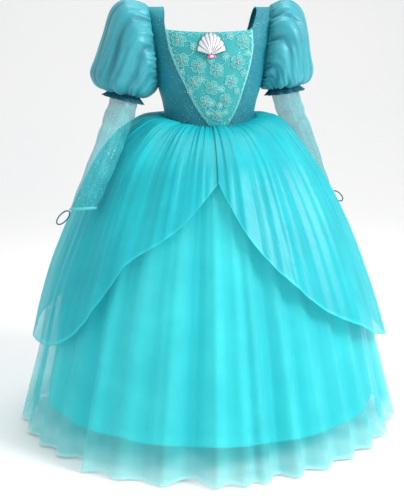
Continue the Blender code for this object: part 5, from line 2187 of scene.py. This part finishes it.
    def build_loop(self) -> None:
        """The elastic loop for a finger at the outer corner of the slanted hem."""
        last = len(self.sleeve) - 1
        corner = self.sleeve_ring(last, SEAM_GAP * 2 + BINDING_LENGTH, self.sleeve_columns, -0.0004)[0]
        centres = self.centres()
        along = unit(centres[-1] - centres[-2])
        across, front = self.directions(along)
        along = unit(along + LOOP_LEAN * across)
        sideways = unit(np.cross(along, front))
        middle = corner + along * (LOOP_LENGTH / 2 + LOOP_CORD / 2 + 0.0004)
        turn = self.turns(60)[:, None]
        line = middle - along * LOOP_LENGTH / 2 * np.cos(turn) + sideways * LOOP_WIDTH / 2 * np.sin(turn)
        name = f"elastic_loop_{self.side.word}"
        mesh = self.workshop.tubes(name, [line * (self.side.value, 1, 1)], LOOP_CORD / 2, 10, closed=True)
        self.workshop.piece(name, mesh, ELASTIC, (f"finger_loop_{self.side.word}",))

    def build(self) -> None:
        """Makes every piece of the arm."""
        self.build_puff()
        self.build_ruffle()
        self.build_sleeve()
        self.build_loop()


@dataclass(frozen=True)
class Lamp:
    """One area lamp of the studio: where it stands, how large it is, its power and colour."""

    name: str
    place: tuple[float, float, float]
    size: float
    power: float
    colour: tuple[float, float, float] = (1.0, 1.0, 1.0)


@dataclass
class Studio:
    """Camera at the photograph's angle, soft lamps with the key on the right, and a pale floor."""

    camera_place: tuple[float, float, float] = (-0.2570, -1.9835, -0.0250)
    forward: tuple[float, float, float] = (0.1191, 0.9699, -0.2122)
    lens: float = 76.05
    floor_level: float = -0.7875
    lamps: tuple[Lamp, ...] = (
        Lamp("key", (2.1, -1.5, 1.1), 1.1, 70.0, (1.0, 0.99, 0.97)),
        Lamp("fill", (-2.0, -1.9, 0.5), 1.8, 8.0, (0.97, 0.99, 1.0)),
        Lamp("top", (0.2, 0.3, 1.9), 1.6, 26.0),
    )

    def build_camera(self) -> None:
        """Places the camera level with the gown's shoulders, tilted down."""
        data = bpy.data.cameras.new("camera")
        data.sensor_fit = "VERTICAL"
        data.sensor_height = 36.0
        data.sensor_width = 36.0
        data.lens = self.lens
        camera = bpy.data.objects.new("camera", data)
        bpy.context.scene.collection.objects.link(camera)
        aim = Vector(self.forward).normalized()
        right = aim.cross(Vector((0, 0, 1))).normalized()
        up = right.cross(aim)
        turn = Matrix((right, up, -aim)).transposed().to_4x4()
        camera.matrix_world = Matrix.Translation(self.camera_place) @ turn
        bpy.context.scene.camera = camera

    def build_lamps(self) -> None:
        """Sets up the lamps and the pale surroundings."""
        for lamp in self.lamps:
            data = bpy.data.lights.new(lamp.name, "AREA")
            data.shape = "DISK"
            data.size = lamp.size
            data.energy = lamp.power
            data.color = lamp.colour
            obj = bpy.data.objects.new(lamp.name, data)
            bpy.context.scene.collection.objects.link(obj)
            obj.location = lamp.place
            aim = Vector((0.0, 0.0, -0.35)) - obj.location
            obj.rotation_euler = aim.to_track_quat("-Z", "Y").to_euler()
        world = bpy.data.worlds.new("studio")
        world.use_nodes = True
        world.node_tree.nodes["Background"].inputs[0].default_value = (1.0, 1.0, 1.0, 1.0)
        world.node_tree.nodes["Background"].inputs[1].default_value = 0.62
        bpy.context.scene.world = world

    def build_floor(self, effects: Effects) -> None:
        """Lays a plain pale floor that runs up into a wall behind the gown.

        Args:
            effects: The shared node groups.
        """
        bend = np.linspace(0.1, 1, 14) * math.pi / 2
        run = np.concatenate([np.linspace(-4, 2.0, 20), 2.0 + 2.0 * np.sin(bend)])
        rise = np.concatenate([np.zeros(20), 2.0 * (1 - np.cos(bend))])
        run = np.append(run, run[-1])
        rise = np.append(rise, 4.0)
        x = np.linspace(-6, 6, 12)
        points = np.zeros((len(run), len(x), 3))
        points[:, :, 0] = x[None, :]
        points[:, :, 1] = run[:, None]
        points[:, :, 2] = self.floor_level + rise[:, None]
        mesh = bpy.data.meshes.new("floor")
        rows, columns = points.shape[:2]
        faces = [
            (i * columns + j, i * columns + j + 1, (i + 1) * columns + j + 1, (i + 1) * columns + j)
            for i in range(rows - 1)
            for j in range(columns - 1)
        ]
        mesh.from_pydata(points.reshape(-1, 3), [], faces)
        mesh.shade_smooth()
        material, shader, principled, places = start_material("floor_look")
        cloud = shader.group(effects.cloud, vector=places.outputs["Object"], scale=0.7).outputs[0]
        tone = shader.mix(cloud, linear((252, 252, 252)), linear((249, 250, 251)))
        shader.feed(principled, {"Base Color": tone, "Roughness": 0.85})
        mesh.materials.append(material)
        floor = bpy.data.objects.new("floor", mesh)
        bpy.context.scene.collection.objects.link(floor)

    def build(self, effects: Effects) -> None:
        """Sets up the whole studio."""
        bpy.context.scene.view_settings.view_transform = "Standard"
        self.build_camera()
        self.build_lamps()
        self.build_floor(effects)


def main() -> None:
    """Builds the gown and the studio."""
    logging.basicConfig(level=logging.INFO, format="%(name)s %(message)s")
    workshop = Workshop()
    Studio().build(workshop.effects)
    torso = TorsoForm()
    bodice = Bodice(workshop, torso)
    bodice.build()
    Brooch(workshop, bodice).build()
    form = SkirtForm()
    LiningSkirt(workshop, form).build()
    SheerSkirt(workshop, form).build()
    Petal(workshop, form, Side.LEFT, LEFT_PETAL_EDGE, LEFT_PETAL_RIDGES, over=False).build()
    Petal(workshop, form, Side.RIGHT, RIGHT_PETAL_EDGE, RIGHT_PETAL_RIDGES, over=True).build()
    Arm(workshop, torso, Side.LEFT, LEFT_PUFF, LEFT_SLEEVE, LEFT_PUFF_CREASES).build()
    Arm(workshop, torso, Side.RIGHT, RIGHT_PUFF, RIGHT_SLEEVE, RIGHT_PUFF_CREASES).build()


if __name__ == "__main__":
    main()
